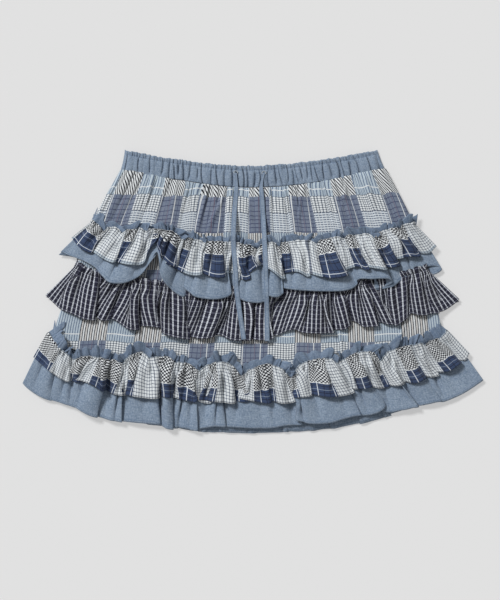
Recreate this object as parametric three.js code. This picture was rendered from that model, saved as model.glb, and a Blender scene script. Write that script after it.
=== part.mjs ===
// Tiered ruffle mini skirt, laid flat on its back panel.
// Millimetres. +X to the garment's right-hand edge as seen, +Y towards the waist, +Z up from the
// surface it lies on. The origin is under the centre of the laid-out skirt.
//
// A flattened tube of patchwork cloth hangs from an elasticated waistband. Three gathered ruffles go
// round it: a double one at the hips, a single checked one below it, and a double one at the hem.
// Each double ruffle is a plain strip with a narrower patchwork strip over it. Both are gathered on
// one line, and the plain strip stands up above that line as a heading. Two flat drawstring ends
// come out at the front of the waistband.
import * as THREE from "three";

// Driving dimensions
const CLOTH = 1.0; // wall of every cut piece
const SEAM = 0.3; // gap between pieces that are sewn or lie together
const BAND_BACK = 3.2; // waistband thickness under the front: casing, elastic and squashed gathers
const BAND_FRONT = 3.0; // waistband thickness at the front, without its gathers
const BAND_GATHER = 1.3; // height of the front waistband's gathers
const BAND_GATHERS = 31; // how many gathers the front waistband shows
const SQUASH = 2.0; // height of the back ruffles' folds, pressed by the skirt's own weight
const SEAM_ALLOWANCE = 10; // how far the body cloth goes on below the hem ruffle's gathering line
const TAPE_WIDTH = 6.4; // the drawstring's flat tape
const TAPE_THICK = 1.4;

// Heights above the surface, from the bottom layer up
const BACK_BODY = SQUASH + 3 * (CLOTH + SEAM); // underside of the back body over its ruffles
const FRONT_BODY = BACK_BODY + CLOTH + SEAM;
const MIDDLE = BACK_BODY + CLOTH + SEAM / 2; // where front and back meet at the sides
const FRONT_RUFFLE = FRONT_BODY + CLOTH + SEAM; // underside of a front ruffle on its gathering line
const BAND_BODY_BACK = 1.1; // underside of the back body where it is sewn to the waistband
const BAND_BODY_FRONT = 4.6;

// Lines across the laid-out skirt, from the left edge to the right. left and right are the X of the
// two ends, and y is the line's Y at five equally spaced stations from one to the other.
const LINES = {
  waistTop: { left: -172, right: 167, y: [190, 176, 169.5, 176, 190] },
  waistSeam: { left: -177.5, right: 178, y: [165.5, 149, 140.5, 149, 167] },
  hipGather: { left: -216.5, right: 218, y: [93, 73, 58.5, 72, 89] },
  hipHem: { left: -260.5, right: 254, y: [50, 11, -11, 1.5, 31] },
  checkGather: { left: -239, right: 235, y: [32.5, 11, -4, 8, 29.5] },
  checkHem: { left: -279.5, right: 278, y: [-7, -52, -66, -55, -13.5] },
  hemGather: { left: -271.5, right: 256.5, y: [-62, -93, -106.5, -92, -58] },
  hemFront: { left: -310.5, right: 310.5, y: [-123, -173, -188, -166, -119] },
  hemBack: { left: -310.5, right: 310.5, y: [-123, -175, -190, -175, -119] },
};

// The front ruffles' folds from left to right. at is the X of the fold's crest on the hem, rise its
// height there, lean how far it has fallen sideways, drop how far its hem hangs below the line, and
// tuck how far the hem is drawn up in the hollow on its right.
const HIP_FOLDS = [
  { at: -238, rise: 8, lean: -3, drop: 0, tuck: 6 },
  { at: -172, rise: 14, lean: 4, drop: 4, tuck: 28 },
  { at: -90, rise: 13, lean: 3, drop: 6, tuck: 6 },
  { at: -46, rise: 11, lean: -4, drop: 2, tuck: 6 },
  { at: 6, rise: 13, lean: 4, drop: 5, tuck: 8 },
  { at: 52, rise: 12, lean: -5, drop: 0, tuck: 4 },
  { at: 104, rise: 12, lean: 4, drop: 0, tuck: 8 },
  { at: 160, rise: 14, lean: 5, drop: 2, tuck: 6 },
  { at: 214, rise: 12, lean: 6, drop: 3, tuck: 5 },
];
const CHECK_FOLDS = [
  { at: -258, rise: 6, lean: -2, drop: 0, tuck: 1 },
  { at: -226, rise: 8, lean: 3, drop: 2, tuck: 4 },
  { at: -180, rise: 9, lean: -3, drop: 3, tuck: 2 },
  { at: -139, rise: 8, lean: 2, drop: 3, tuck: 4 },
  { at: -99, rise: 7, lean: 2, drop: 1, tuck: 3 },
  { at: -65, rise: 8, lean: -2, drop: 2, tuck: 3 },
  { at: -28, rise: 9, lean: -3, drop: 3, tuck: 3 },
  { at: 12, rise: 8, lean: 2, drop: 2, tuck: 5 },
  { at: 60, rise: 9, lean: -4, drop: 0, tuck: 2 },
  { at: 108, rise: 9, lean: 3, drop: 2, tuck: 4 },
  { at: 155, rise: 8, lean: 3, drop: 1, tuck: 3 },
  { at: 196, rise: 9, lean: -3, drop: 2, tuck: 3 },
  { at: 242, rise: 7, lean: 2, drop: 1, tuck: 2 },
];
const HEM_FOLDS = [
  { at: -286, rise: 6, lean: -2, drop: 1, tuck: 1 },
  { at: -248, rise: 7, lean: 2, drop: 3, tuck: 2 },
  { at: -220, rise: 8, lean: 2, drop: 3, tuck: 2 },
  { at: -188, rise: 7, lean: 2, drop: 2, tuck: 2 },
  { at: -146, rise: 8, lean: 0, drop: 2, tuck: 4 },
  { at: -110, rise: 9, lean: -2, drop: 2, tuck: 5 },
  { at: -84, rise: 8, lean: 0, drop: 2, tuck: 2 },
  { at: -62, rise: 7, lean: 2, drop: 0, tuck: 2 },
  { at: -38, rise: 8, lean: 2, drop: 1, tuck: 2 },
  { at: -6, rise: 8, lean: -2, drop: 0, tuck: 1 },
  { at: 38, rise: 8, lean: 3, drop: 0, tuck: 2 },
  { at: 94, rise: 9, lean: 2, drop: 1, tuck: 2 },
  { at: 146, rise: 9, lean: 5, drop: 0, tuck: 4 },
  { at: 182, rise: 7, lean: 2, drop: 1, tuck: 2 },
  { at: 209, rise: 8, lean: 2, drop: 2, tuck: 2 },
  { at: 239, rise: 7, lean: 3, drop: 2, tuck: 2 },
  { at: 282, rise: 6, lean: 2, drop: 1, tuck: 1 },
];

// The three ruffles. heading is the cloth above the gathering line and headingRise the height of its
// waves, lift how far the hem stands off the cloth below it, overlay the patchwork strip's share of
// the drop, and folds the front's fold table. backFolds pleats cross the back.
const RUFFLES = {
  hip: {
    gather: LINES.hipGather, hem: LINES.hipHem, backHem: LINES.hipHem, folds: HIP_FOLDS,
    heading: 14, headingRise: 2.5, lift: 4.5, overlay: 0.62, steps: 3, backFolds: 12,
  },
  check: {
    gather: LINES.checkGather, hem: LINES.checkHem, backHem: LINES.checkHem, folds: CHECK_FOLDS,
    heading: 8, headingRise: 0.8, lift: 0.5, overlay: 0, steps: 2, backFolds: 14,
  },
  hem: {
    gather: LINES.hemGather, hem: LINES.hemFront, backHem: LINES.hemBack, folds: HEM_FOLDS,
    heading: 18, headingRise: 4, lift: 0.5, overlay: 0.54, steps: 2, backFolds: 15,
  },
};

// Where the two drawstring ends lie: out of the waistband, over the hip ruffle and onto the check
// ruffle. Each rests on whatever cloth is highest below it.
const DRAWSTRINGS = {
  drawstring_left: [[-23, 160], [-22.3, 142], [-25.2, 104], [-26.3, 70], [-23, 23], [-22, 3], [-12.2, -64]],
  drawstring_right: [[14.6, 160], [11.1, 142], [12.2, 124], [15.3, 71.6], [18, 2.7], [19.2, -66]],
};
const TAPE_CLEAR = 0.4; // gap between the tape and the cloth it rests on

const materials = {
  chambray: new THREE.MeshStandardMaterial({ color: 0x71869f, roughness: 0.9, metalness: 0 }),
  patchwork: new THREE.MeshStandardMaterial({ color: 0x8f9cab, roughness: 0.9, metalness: 0 }),
  overlay: new THREE.MeshStandardMaterial({ color: 0xa9b0b5, roughness: 0.9, metalness: 0 }),
  check: new THREE.MeshStandardMaterial({ color: 0x4a4d5e, roughness: 0.9, metalness: 0 }),
};

const lerp = THREE.MathUtils.lerp;
const smoothstep = THREE.MathUtils.smoothstep;

// A smooth value through equally spaced stations, at t from 0 to 1.
function throughStations(stations, t) {
  const last = stations.length - 1;
  const k = Math.min(Math.floor(t * last), last - 1);
  const w = t * last - k;
  const at = (i) => stations[Math.max(0, Math.min(last, i))];
  const slopeIn = (at(k + 1) - at(k - 1)) / 2;
  const slopeOut = (at(k + 2) - at(k)) / 2;
  const rise = at(k + 1) - at(k);
  return at(k) + w * (slopeIn + w * (3 * rise - 2 * slopeIn - slopeOut + w * (slopeIn + slopeOut - 2 * rise)));
}

// The point on one of the LINES at share s of the way across.
function onLine(line, s) {
  return new THREE.Vector2(lerp(line.left, line.right, s), throughStations(line.y, s));
}

// A closed wall between an upper and a lower surface, each rows of columns of Vector3. Rows go
// towards the hem and columns to the right.
function wall(upper, lower) {
  const rows = upper.length;
  const columns = upper[0].length;
  const positions = [...upper.flat(), ...lower.flat()].flatMap((p) => [p.x, p.y, p.z]);
  const top = (r, c) => r * columns + c;
  const under = (r, c) => rows * columns + r * columns + c;
  const index = [];
  const quad = (a, b, c, d) => index.push(a, b, c, a, c, d);
  for (let r = 0; r < rows - 1; r++) {
    for (let c = 0; c < columns - 1; c++) {
      quad(top(r, c), top(r + 1, c), top(r + 1, c + 1), top(r, c + 1));
      // the same diagonal as above, turned to face down
      index.push(under(r, c), under(r + 1, c + 1), under(r + 1, c));
      index.push(under(r, c), under(r, c + 1), under(r + 1, c + 1));
    }
  }
  for (let r = 0; r < rows - 1; r++) {
    const right = columns - 1;
    quad(top(r, 0), under(r, 0), under(r + 1, 0), top(r + 1, 0));
    quad(top(r + 1, right), under(r + 1, right), under(r, right), top(r, right));
  }
  for (let c = 0; c < columns - 1; c++) {
    const bottom = rows - 1;
    quad(top(0, c + 1), under(0, c + 1), under(0, c), top(0, c));
    quad(top(bottom, c), under(bottom, c), under(bottom, c + 1), top(bottom, c + 1));
  }
  const geometry = new THREE.BufferGeometry();
  geometry.setAttribute("position", new THREE.Float32BufferAttribute(positions, 3));
  geometry.setIndex(index);
  geometry.computeVertexNormals();
  return geometry;
}

// The same surface at another height.
function raised(surface, by) {
  return surface.map((row) => row.map((p) => new THREE.Vector3(p.x, p.y, p.z + by)));
}

// The columns across a front ruffle: each half fold in a few steps from hollow to crest or back.
// crest is 1 on a crest and 0 in a hollow.
function foldColumns(folds, hem, steps) {
  const crests = folds.map((fold) => (fold.at - hem.left) / (hem.right - hem.left));
  const hollows = [0, ...crests.slice(1).map((s, k) => (s + crests[k]) / 2), 1];
  const columns = [{ s: 0, crest: 0, fold: folds[0], tuck: 0 }];
  folds.forEach((fold, k) => {
    for (let i = 1; i <= 2 * steps; i++) {
      const up = i <= steps;
      const share = up ? i / steps : i / steps - 1;
      columns.push({
        s: up ? lerp(hollows[k], crests[k], share) : lerp(crests[k], hollows[k + 1], share),
        crest: (1 - Math.cos(Math.PI * (up ? share : 1 - share))) / 2,
        fold,
        tuck: up ? (k ? folds[k - 1].tuck : 0) : k < folds.length - 1 ? fold.tuck : 0,
      });
    }
  });
  return columns;
}

// Broad crests and narrow hollows, growing from the gathering line to the hem. Down to SIDE_APART
// of the drop the front and back of a ruffle have the body between them at the sides.
const CREST_SHAPE = 0.75;
const FOLD_GROWTH = 0.85;
const SIDE_APART = 0.8;

// A point on the underside of a front ruffle. v is -1 on the heading's edge, 0 on the gathering line
// and 1 on the hem.
function frontRufflePoint(ruffle, column, v) {
  const { s, crest, fold, tuck } = column;
  const gather = onLine(ruffle.gather, s);
  if (v < 0) {
    const wave = ruffle.headingRise * crest * -v;
    return new THREE.Vector3(gather.x, gather.y - v * ruffle.heading, FRONT_RUFFLE + wave);
  }
  const fall = onLine(ruffle.hem, s).sub(gather);
  const longer = (fold.drop * crest - tuck * (1 - crest) ** 2) / fall.length();
  const grown = v ** FOLD_GROWTH;
  const atSide = s === 0 || s === 1;
  const sideDrop = atSide ? (FRONT_RUFFLE - MIDDLE - SEAM / 2) * smoothstep(v, SIDE_APART, 1) : 0;
  return new THREE.Vector3(
    gather.x + fall.x * v + fold.lean * crest * grown,
    gather.y + fall.y * v * (1 + longer * v),
    FRONT_RUFFLE + (atSide ? 0 : ruffle.lift * v) - sideDrop + fold.rise * crest ** CREST_SHAPE * grown,
  );
}

// A point on the lower side of a back ruffle's base strip, pressed flat under the skirt. layers is
// how many strips lie below it where the overlay reaches.
function backRufflePoint(ruffle, column, v) {
  const { s, crest } = column;
  const gather = onLine(ruffle.gather, s);
  const overlaid = ruffle.overlay ? CLOTH + SEAM : 0;
  const atSeam = BACK_BODY - SEAM - CLOTH;
  if (v < 0) return new THREE.Vector3(gather.x, gather.y - v * ruffle.heading, atSeam);
  const fall = onLine(ruffle.backHem, s).sub(gather);
  const onSurface = SQUASH * crest + overlaid * (1 - smoothstep(v, ruffle.overlay, ruffle.overlay + 0.3));
  const settled = ruffle.overlay ? smoothstep(v, 0, 0.3) : smoothstep(v, 0.2, 0.5);
  const atSide = s === 0 || s === 1;
  const z = lerp(atSeam, onSurface, settled);
  return new THREE.Vector3(
    gather.x + fall.x * v,
    gather.y + fall.y * v,
    atSide ? lerp(z, MIDDLE - SEAM / 2 - CLOTH, smoothstep(v, SIDE_APART, 1)) : z,
  );
}

// The columns across a back ruffle: even pleats, pressed flat.
function backColumns(ruffle) {
  const count = ruffle.backFolds * 2;
  return Array.from({ length: count + 1 }, (_, i) => ({ s: i / count, crest: i % 2 }));
}

const meshes = [];
function piece(name, geometry, material) {
  const mesh = new THREE.Mesh(geometry, material);
  mesh.name = name;
  meshes.push(mesh);
}

// A base strip and, where there is one, its overlay, for the front or the back of a ruffle.
function rufflePieces(name, ruffle, baseMaterial) {
  const overlayRows = [0, ruffle.overlay * 0.4, ruffle.overlay];
  const rows = ruffle.overlay ? [-1, ...overlayRows, 1] : [-1, 0, 0.2, 0.5, 1];
  const front = foldColumns(ruffle.folds, ruffle.hem, ruffle.steps);
  const frontSurface = (vs) => vs.map((v) => front.map((column) => frontRufflePoint(ruffle, column, v)));
  const back = backColumns(ruffle);
  const backSurface = (vs) => vs.map((v) => back.map((column) => backRufflePoint(ruffle, column, v)));
  const base = frontSurface(rows);
  piece(`${name}_front`, wall(raised(base, CLOTH), base), baseMaterial);
  const backBase = backSurface([...rows.slice(0, -1), SIDE_APART, 1]);
  piece(`${name}_back`, wall(raised(backBase, CLOTH), backBase), baseMaterial);
  if (!ruffle.overlay) return;
  const over = raised(frontSurface(overlayRows), CLOTH + SEAM);
  piece(`${name}_overlay_front`, wall(raised(over, CLOTH), over), materials.overlay);
  const below = raised(backSurface(overlayRows), -SEAM);
  piece(`${name}_overlay_back`, wall(below, raised(below, -CLOTH)), materials.overlay);
}

// The body: one panel at the front and one at the back, each from the waist seam to just below the
// hem ruffle's gathering line, with the Y of the sewing lines that it carries.
const BODY_COLUMNS = 12;
const BODY_ROWS = 6;
function bodyPanel(heightAtWaist, height) {
  const lines = [LINES.waistSeam, LINES.hipGather, LINES.checkGather, LINES.hemGather];
  const surface = [];
  for (let r = 0; r <= BODY_ROWS; r++) {
    const t = r / BODY_ROWS;
    const row = [];
    for (let c = 0; c <= BODY_COLUMNS; c++) {
      const s = c / BODY_COLUMNS;
      const points = lines.map((line) => onLine(line, s));
      const x = throughStations(points.map((p) => p.x), t);
      const y = throughStations(points.map((p) => p.y), t);
      const away = r === 0 ? 2 * SEAM : 0;
      const below = r === BODY_ROWS ? SEAM_ALLOWANCE : 0;
      row.push(new THREE.Vector3(x, y - away - below, lerp(heightAtWaist, height, smoothstep(t, 0, 0.16))));
    }
    surface.push(row);
  }
  return wall(raised(surface, CLOTH), surface);
}

// The front waistband: a casing round its elastic, with gathers across its upper face.
function waistbandFront() {
  const steps = BAND_GATHERS * 2;
  const rows = [0, 0.18, 0.3, 1]; // the edge, the stitch line below it, and the seam
  const ripple = [0.6, 0.2, 1, 0.8];
  const upper = [];
  const lower = [];
  rows.forEach((t, r) => {
    upper.push([]);
    lower.push([]);
    for (let c = 0; c <= steps; c++) {
      const p = onLine(LINES.waistTop, c / steps).lerp(onLine(LINES.waistSeam, c / steps), t);
      const under = BAND_BACK + SEAM;
      const gather = BAND_GATHER * ripple[r] * (c % 2);
      upper[r].push(new THREE.Vector3(p.x, p.y, under + BAND_FRONT + gather));
      lower[r].push(new THREE.Vector3(p.x, p.y, under));
    }
  });
  return wall(upper, lower);
}

// The back waistband, whose underside lies flat on the surface.
const BAND_COLUMNS = 14;
function waistbandBack() {
  const surface = [LINES.waistTop, LINES.waistSeam].map((line) =>
    Array.from({ length: BAND_COLUMNS + 1 }, (_, c) => {
      const p = onLine(line, c / BAND_COLUMNS);
      return new THREE.Vector3(p.x, p.y, 0);
    }),
  );
  return wall(raised(surface, BAND_BACK), surface);
}

// The height of the cloth below a point.
const down = new THREE.Raycaster();
function clothHeight(x, y, cloth) {
  down.set(new THREE.Vector3(x, y, 200), new THREE.Vector3(0, 0, -1));
  const hit = down.intersectObjects(cloth)[0];
  return hit ? hit.point.z : 0;
}

// A flat tape along its route, its width lying across the skirt and its underside just clear of the
// highest cloth near it. Its section is flat with thin edges.
const TAPE_STEPS = 36;
const TAPE_FALL = 2; // the most that it drops or climbs in a step, as it bridges a hem
const TAPE_SECTION = [[-0.5, 0], [-0.38, -0.5], [0.38, -0.5], [0.5, 0], [0.38, 0.5], [-0.38, 0.5]];
function tape(route, cloth) {
  const plan = new THREE.SplineCurve(route.map(([x, y]) => new THREE.Vector2(x, y)));
  const points = plan.getSpacedPoints(TAPE_STEPS);
  const near = [-TAPE_WIDTH / 2, 0, TAPE_WIDTH / 2];
  const rests = points.map(({ x, y }) => {
    const heights = near.flatMap((dx) => near.map((dy) => clothHeight(x + dx, y + dy, cloth)));
    return Math.max(...heights);
  });
  const middles = points.map((p, i) => {
    const around = rests.slice(Math.max(0, i - 1), i + 2);
    return Math.max(...around) + TAPE_THICK / 2 + TAPE_CLEAR;
  });
  for (let i = 1; i <= TAPE_STEPS; i++) middles[i] = Math.max(middles[i], middles[i - 1] - TAPE_FALL);
  for (let i = TAPE_STEPS - 1; i >= 0; i--) middles[i] = Math.max(middles[i], middles[i + 1] - TAPE_FALL);
  const positions = points.flatMap((p, i) => {
    const ahead = plan.getTangent(Math.min(i / TAPE_STEPS, 1));
    return TAPE_SECTION.flatMap(([across, up]) => [
      p.x - ahead.y * across * TAPE_WIDTH,
      p.y + ahead.x * across * TAPE_WIDTH,
      middles[i] + up * TAPE_THICK,
    ]);
  });
  const sides = TAPE_SECTION.length;
  const index = [];
  for (let i = 0; i < TAPE_STEPS; i++) {
    for (let k = 0; k < sides; k++) {
      const a = i * sides + k;
      const b = i * sides + ((k + 1) % sides);
      index.push(a, b, b + sides, a, b + sides, a + sides);
    }
  }
  const end = TAPE_STEPS * sides;
  for (let k = 1; k < sides - 1; k++) {
    index.push(0, k + 1, k);
    index.push(end, end + k, end + k + 1);
  }
  const geometry = new THREE.BufferGeometry();
  geometry.setAttribute("position", new THREE.Float32BufferAttribute(positions, 3));
  geometry.setIndex(index);
  geometry.computeVertexNormals();
  return geometry;
}

piece("waistband_front", waistbandFront(), materials.chambray);
piece("waistband_back", waistbandBack(), materials.chambray);
piece("body_front", bodyPanel(BAND_BODY_FRONT, FRONT_BODY), materials.patchwork);
piece("body_back", bodyPanel(BAND_BODY_BACK, BACK_BODY), materials.patchwork);
rufflePieces("hip_ruffle", RUFFLES.hip, materials.chambray);
rufflePieces("check_ruffle", RUFFLES.check, materials.check);
rufflePieces("hem_ruffle", RUFFLES.hem, materials.chambray);
const cloth = [...meshes];
for (const [name, route] of Object.entries(DRAWSTRINGS)) piece(name, tape(route, cloth), materials.chambray);

const skirt = new THREE.Group();
skirt.add(...meshes);
export default skirt;
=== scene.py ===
# %% [markdown]
# # A tiered ruffle skirt, laid flat
# A short pull-on skirt lies on its back on a pale table, seen from straight above. It is sewn from
# thin cotton: blue chambray, a patchwork plaid and a dark check. This lesson builds each cut piece of
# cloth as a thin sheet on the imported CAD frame. The frame says where each piece goes and how big it
# is, and the sheets here give it folds, gathers and weave.

# %% Load the frame
import bmesh
import bpy
import numpy as np
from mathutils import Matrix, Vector
from mathutils.bvhtree import BVHTree


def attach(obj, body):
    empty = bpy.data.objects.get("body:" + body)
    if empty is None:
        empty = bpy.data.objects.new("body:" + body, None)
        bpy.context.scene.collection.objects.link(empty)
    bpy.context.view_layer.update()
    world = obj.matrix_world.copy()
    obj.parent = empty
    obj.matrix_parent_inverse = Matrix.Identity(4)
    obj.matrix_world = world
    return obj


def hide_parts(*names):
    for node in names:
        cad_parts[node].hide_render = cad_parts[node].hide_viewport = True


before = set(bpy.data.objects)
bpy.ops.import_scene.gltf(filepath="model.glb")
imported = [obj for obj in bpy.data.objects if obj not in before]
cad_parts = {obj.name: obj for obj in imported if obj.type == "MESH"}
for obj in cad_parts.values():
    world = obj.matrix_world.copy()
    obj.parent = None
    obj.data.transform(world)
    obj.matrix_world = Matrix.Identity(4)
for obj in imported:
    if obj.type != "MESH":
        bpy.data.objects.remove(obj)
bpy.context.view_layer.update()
MM = 0.001

# %% [markdown]
# ## The camera
# A flat-lay photograph is taken from a stand, straight above the cloth. A long lens from three metres
# keeps raised folds from leaning outwards, as a short lens close by would make them do. The lens
# follows from the picture's height in pixels and the size of one pixel on the table.

# %% Set up the camera
PHOTO_HEIGHT = 600
MM_PER_PIXEL = 1.35
EYE_HEIGHT = 3.0
SENSOR_WIDTH = 36
PICTURE_MIDDLE = (-4.05, -10.8)

camera = bpy.data.objects.new("camera", bpy.data.cameras.new("camera"))
camera.data.sensor_width = SENSOR_WIDTH
camera.data.lens = SENSOR_WIDTH * EYE_HEIGHT / (PHOTO_HEIGHT * MM_PER_PIXEL * MM)
camera.location = (PICTURE_MIDDLE[0] * MM, PICTURE_MIDDLE[1] * MM, EYE_HEIGHT)
bpy.context.collection.objects.link(camera)
bpy.context.scene.camera = camera
print("lens", round(camera.data.lens, 1), "mm")

# %% [markdown]
# ## Where the drawstring lies
# The two ends of one flat tie come out of small eyelets at the front of the waistband and lie down
# the skirt. They are limp, so they follow the cloth below. Their routes are settled first, because
# the frame checks where a cord goes, and the tape itself is made once there is cloth to lie on.

# %% Plan the drawstring
DRAWSTRINGS = {
    "drawstring_left": [
        (-23, 160), (-22.3, 142), (-25.2, 104), (-26.3, 70), (-23, 23), (-22, 3), (-12.2, -64),
    ],
    "drawstring_right": [
        (14.6, 160), (11.1, 142), (12.2, 124), (15.3, 71.6), (18, 2.7), (19.2, -66),
    ],
}
TAPE_WIDTH = 6.4
TAPE_THICK = 1.3
print("points on each route:", [len(route) for route in DRAWSTRINGS.values()])

# %% [markdown]
# ## Table and light
# The skirt lies on a sheet of milky acrylic that is lit from behind, as small goods often are, so that
# their shadows on the table stay faint. One big lamp above and to the left draws the folds with soft
# shadows to their right, and an even pale sky fills them, so that the navy cloth keeps its pattern in
# the hollows.

# %% Lay the table and hang the lamp
TABLE_GLOW = 0.414
LAMP_STRENGTH = 2.66
LAMP_WIDTH = np.radians(15)
LAMP_PLACE = (-1.15, 1.25, 1.75)
SKY_STRENGTH = 0.325


def srgb(red, green, blue):
    """A colour read as 0 to 255 on screen, as the linear colour that a shader needs."""
    c = np.array([red, green, blue]) / 255
    linear = np.where(c <= 0.04045, c / 12.92, ((c + 0.055) / 1.055) ** 2.4)
    return (*linear.tolist(), 1.0)


bpy.ops.mesh.primitive_plane_add(size=8, location=(0, 0, 0))
table = bpy.context.object
table.name = "table"
paper = bpy.data.materials.new("table_paper")
paper.use_nodes = True
paper_shader = paper.node_tree.nodes["Principled BSDF"]
paper_shader.inputs["Base Color"].default_value = srgb(160, 160, 160)
paper_shader.inputs["Roughness"].default_value = 0.9
paper_shader.inputs["Emission Color"].default_value = (1.0, 1.0, 1.0, 1.0)
paper_shader.inputs["Emission Strength"].default_value = TABLE_GLOW
table.data.materials.append(paper)

lamp = bpy.data.objects.new("soft_lamp", bpy.data.lights.new("soft_lamp", "SUN"))
lamp.data.angle = LAMP_WIDTH
lamp.data.energy = LAMP_STRENGTH
lamp.location = LAMP_PLACE
lamp.rotation_euler = (Vector((0, 0, 0)) - lamp.location).to_track_quat("-Z", "Y").to_euler()
bpy.context.collection.objects.link(lamp)

sky = bpy.data.worlds.new("sky")
sky.use_nodes = True
sky.node_tree.nodes["Background"].inputs["Color"].default_value = (1.0, 1.0, 1.0, 1.0)
sky.node_tree.nodes["Background"].inputs["Strength"].default_value = SKY_STRENGTH
bpy.context.scene.world = sky
bpy.context.scene.view_settings.view_transform = "Standard"
print("lamp strength", round(lamp.data.energy, 2), "and sky", SKY_STRENGTH)

# %% [markdown]
# ## A loom of shader nodes
# Every cloth here is woven from coloured yarns, so its pattern is a set of straight stripes in two
# directions. An image texture would blur close up. Instead each piece carries a UV map called cloth
# that holds the distance in metres along and across the fabric, and the shader turns those distances
# into yarns. A second map called sewing holds the distance from the hem and from the gathering line,
# which is where the stitches go.

# %% Build the loom
YARN = 0.6
HEM_STITCHES = (3.0, 3.7)
SEAM_STITCHES = (-0.5, 0.3)
STITCH_REPEAT = 2.8
STITCH_LENGTH = 2.0
BUMP_HEIGHT = 0.00022


class Loom:
    """A cloth material. across and down are millimetres on the fabric."""

    def __init__(self, name, roughness, sheen):
        self.material = bpy.data.materials.new(name)
        self.material.use_nodes = True
        self.tree = self.material.node_tree
        self.shader = self.tree.nodes["Principled BSDF"]
        self.shader.inputs["Roughness"].default_value = roughness
        self.shader.inputs["Specular IOR Level"].default_value = 0.2
        self.shader.inputs["Sheen Weight"].default_value = sheen
        self.shader.inputs["Sheen Roughness"].default_value = 0.6
        self.across, self.down = self.millimetres("cloth")
        self.from_hem, self.from_seam = self.millimetres("sewing")

    def node(self, kind, *values):
        made = self.tree.nodes.new(kind)
        for socket, value in zip(made.inputs, values):
            self.plug(socket, value)
        return made

    def plug(self, socket, value):
        if isinstance(value, bpy.types.NodeSocket):
            self.tree.links.new(value, socket)
        else:
            socket.default_value = value

    def math(self, operation, *values):
        made = self.node("ShaderNodeMath")
        made.operation = operation
        for socket, value in zip(made.inputs, values):
            self.plug(socket, value)
        return made.outputs[0]

    def millimetres(self, uv_name):
        uv = self.node("ShaderNodeUVMap")
        uv.uv_map = uv_name
        split = self.node("ShaderNodeSeparateXYZ", uv.outputs[0])
        return [self.math("MULTIPLY", split.outputs[i], 1000) for i in (0, 1)]

    def stripes(self, place, repeat, width, start=0.0):
        """1 on stripes of a width that come back after each repeat."""
        shifted = self.math("SUBTRACT", place, start)
        return self.math("LESS_THAN", self.math("FLOORED_MODULO", shifted, repeat), width)

    def band(self, place, low, high):
        """1 between low and high."""
        return self.math("COMPARE", place, (low + high) / 2, (high - low) / 2)

    def lines(self, place, starts, width):
        """1 on single lines of a width that begin at these places."""
        return self.either(*[self.band(place, start, start + width) for start in starts])

    def both(self, first, *others):
        """1 where every mask is 1."""
        for other in others:
            first = self.math("MULTIPLY", first, other)
        return first

    def either(self, first, *others):
        """1 where any mask is 1."""
        for other in others:
            first = self.math("MAXIMUM", first, other)
        return first

    def opposite(self, mask):
        return self.math("SUBTRACT", 1.0, mask)

    def dye(self, mask, under, over):
        """The colour over where the mask is 1, and under elsewhere."""
        mix = self.node("ShaderNodeMix")
        mix.data_type = "RGBA"
        self.plug(mix.inputs[0], mask)
        self.plug(mix.inputs[6], under)
        self.plug(mix.inputs[7], over)
        return mix.outputs[2]

    def slub(self, across_mm, down_mm, detail=2.0):
        """Uneven yarn: noise whose grains are about this long on the fabric. 0 to 1."""
        place = self.node(
            "ShaderNodeCombineXYZ",
            self.math("DIVIDE", self.across, across_mm),
            self.math("DIVIDE", self.down, down_mm),
        )
        noise = self.node("ShaderNodeTexNoise", place.outputs[0])
        noise.inputs["Scale"].default_value = 1.0
        noise.inputs["Detail"].default_value = detail
        return noise.outputs[0]

    def finish(self, colour, thread=None):
        """Adds the unevenness of real yarn, the stitches, and the weave as a bump."""
        weft = self.slub(5.0, 0.7)
        warp = self.slub(0.7, 5.0)
        grain = self.math("ADD", weft, warp)
        tone = self.math("MULTIPLY_ADD", grain, 0.5, 0.5)
        shade = self.node("ShaderNodeVectorMath")
        shade.operation = "SCALE"
        self.plug(shade.inputs[0], colour)
        self.plug(shade.inputs["Scale"], tone)
        colour = shade.outputs[0]
        stitched = self.either(
            self.band(self.from_hem, *HEM_STITCHES), self.band(self.from_seam, *SEAM_STITCHES)
        )
        stitch = self.both(stitched, self.stripes(self.across, STITCH_REPEAT, STITCH_LENGTH))
        if thread:
            colour = self.dye(stitch, colour, thread)
        self.plug(self.shader.inputs["Base Color"], colour)
        turn = 2 * np.pi / YARN
        over = self.math("SINE", self.math("MULTIPLY", self.across, turn))
        under = self.math("SINE", self.math("MULTIPLY", self.down, turn))
        weave = self.math("MULTIPLY", over, under)
        height = self.math("MULTIPLY_ADD", grain, 0.8, self.math("MULTIPLY", weave, 0.5))
        height = self.math("MULTIPLY_ADD", stitch, -1.2, height)
        bump = self.node("ShaderNodeBump")
        bump.inputs["Strength"].default_value = 0.45
        bump.inputs["Distance"].default_value = BUMP_HEIGHT
        self.plug(bump.inputs["Height"], height)
        self.plug(self.shader.inputs["Normal"], bump.outputs[0])
        print(self.material.name, len(self.tree.nodes), "nodes")
        return self.material

# %% [markdown]
# ## Chambray
# Chambray is a plain weave of blue warp and white weft. From a distance the two mix to a dusty blue,
# mottled where the yarn is thicker. So the shader mixes two blues with noise stretched along each
# yarn direction. The heading above a gathering line is painted a deeper blue, as painted shade for the
# upright frill. The drawstring is the same cloth, a little paler from handling.

# %% Weave the chambray
# the heading's painted shade: how far it is pulled towards a deeper blue, and that blue
HEADING_PAINTED_SHADE = 0.36
HEADING_PAINTED_SHADE_BLUE = srgb(66, 88, 120)


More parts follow.
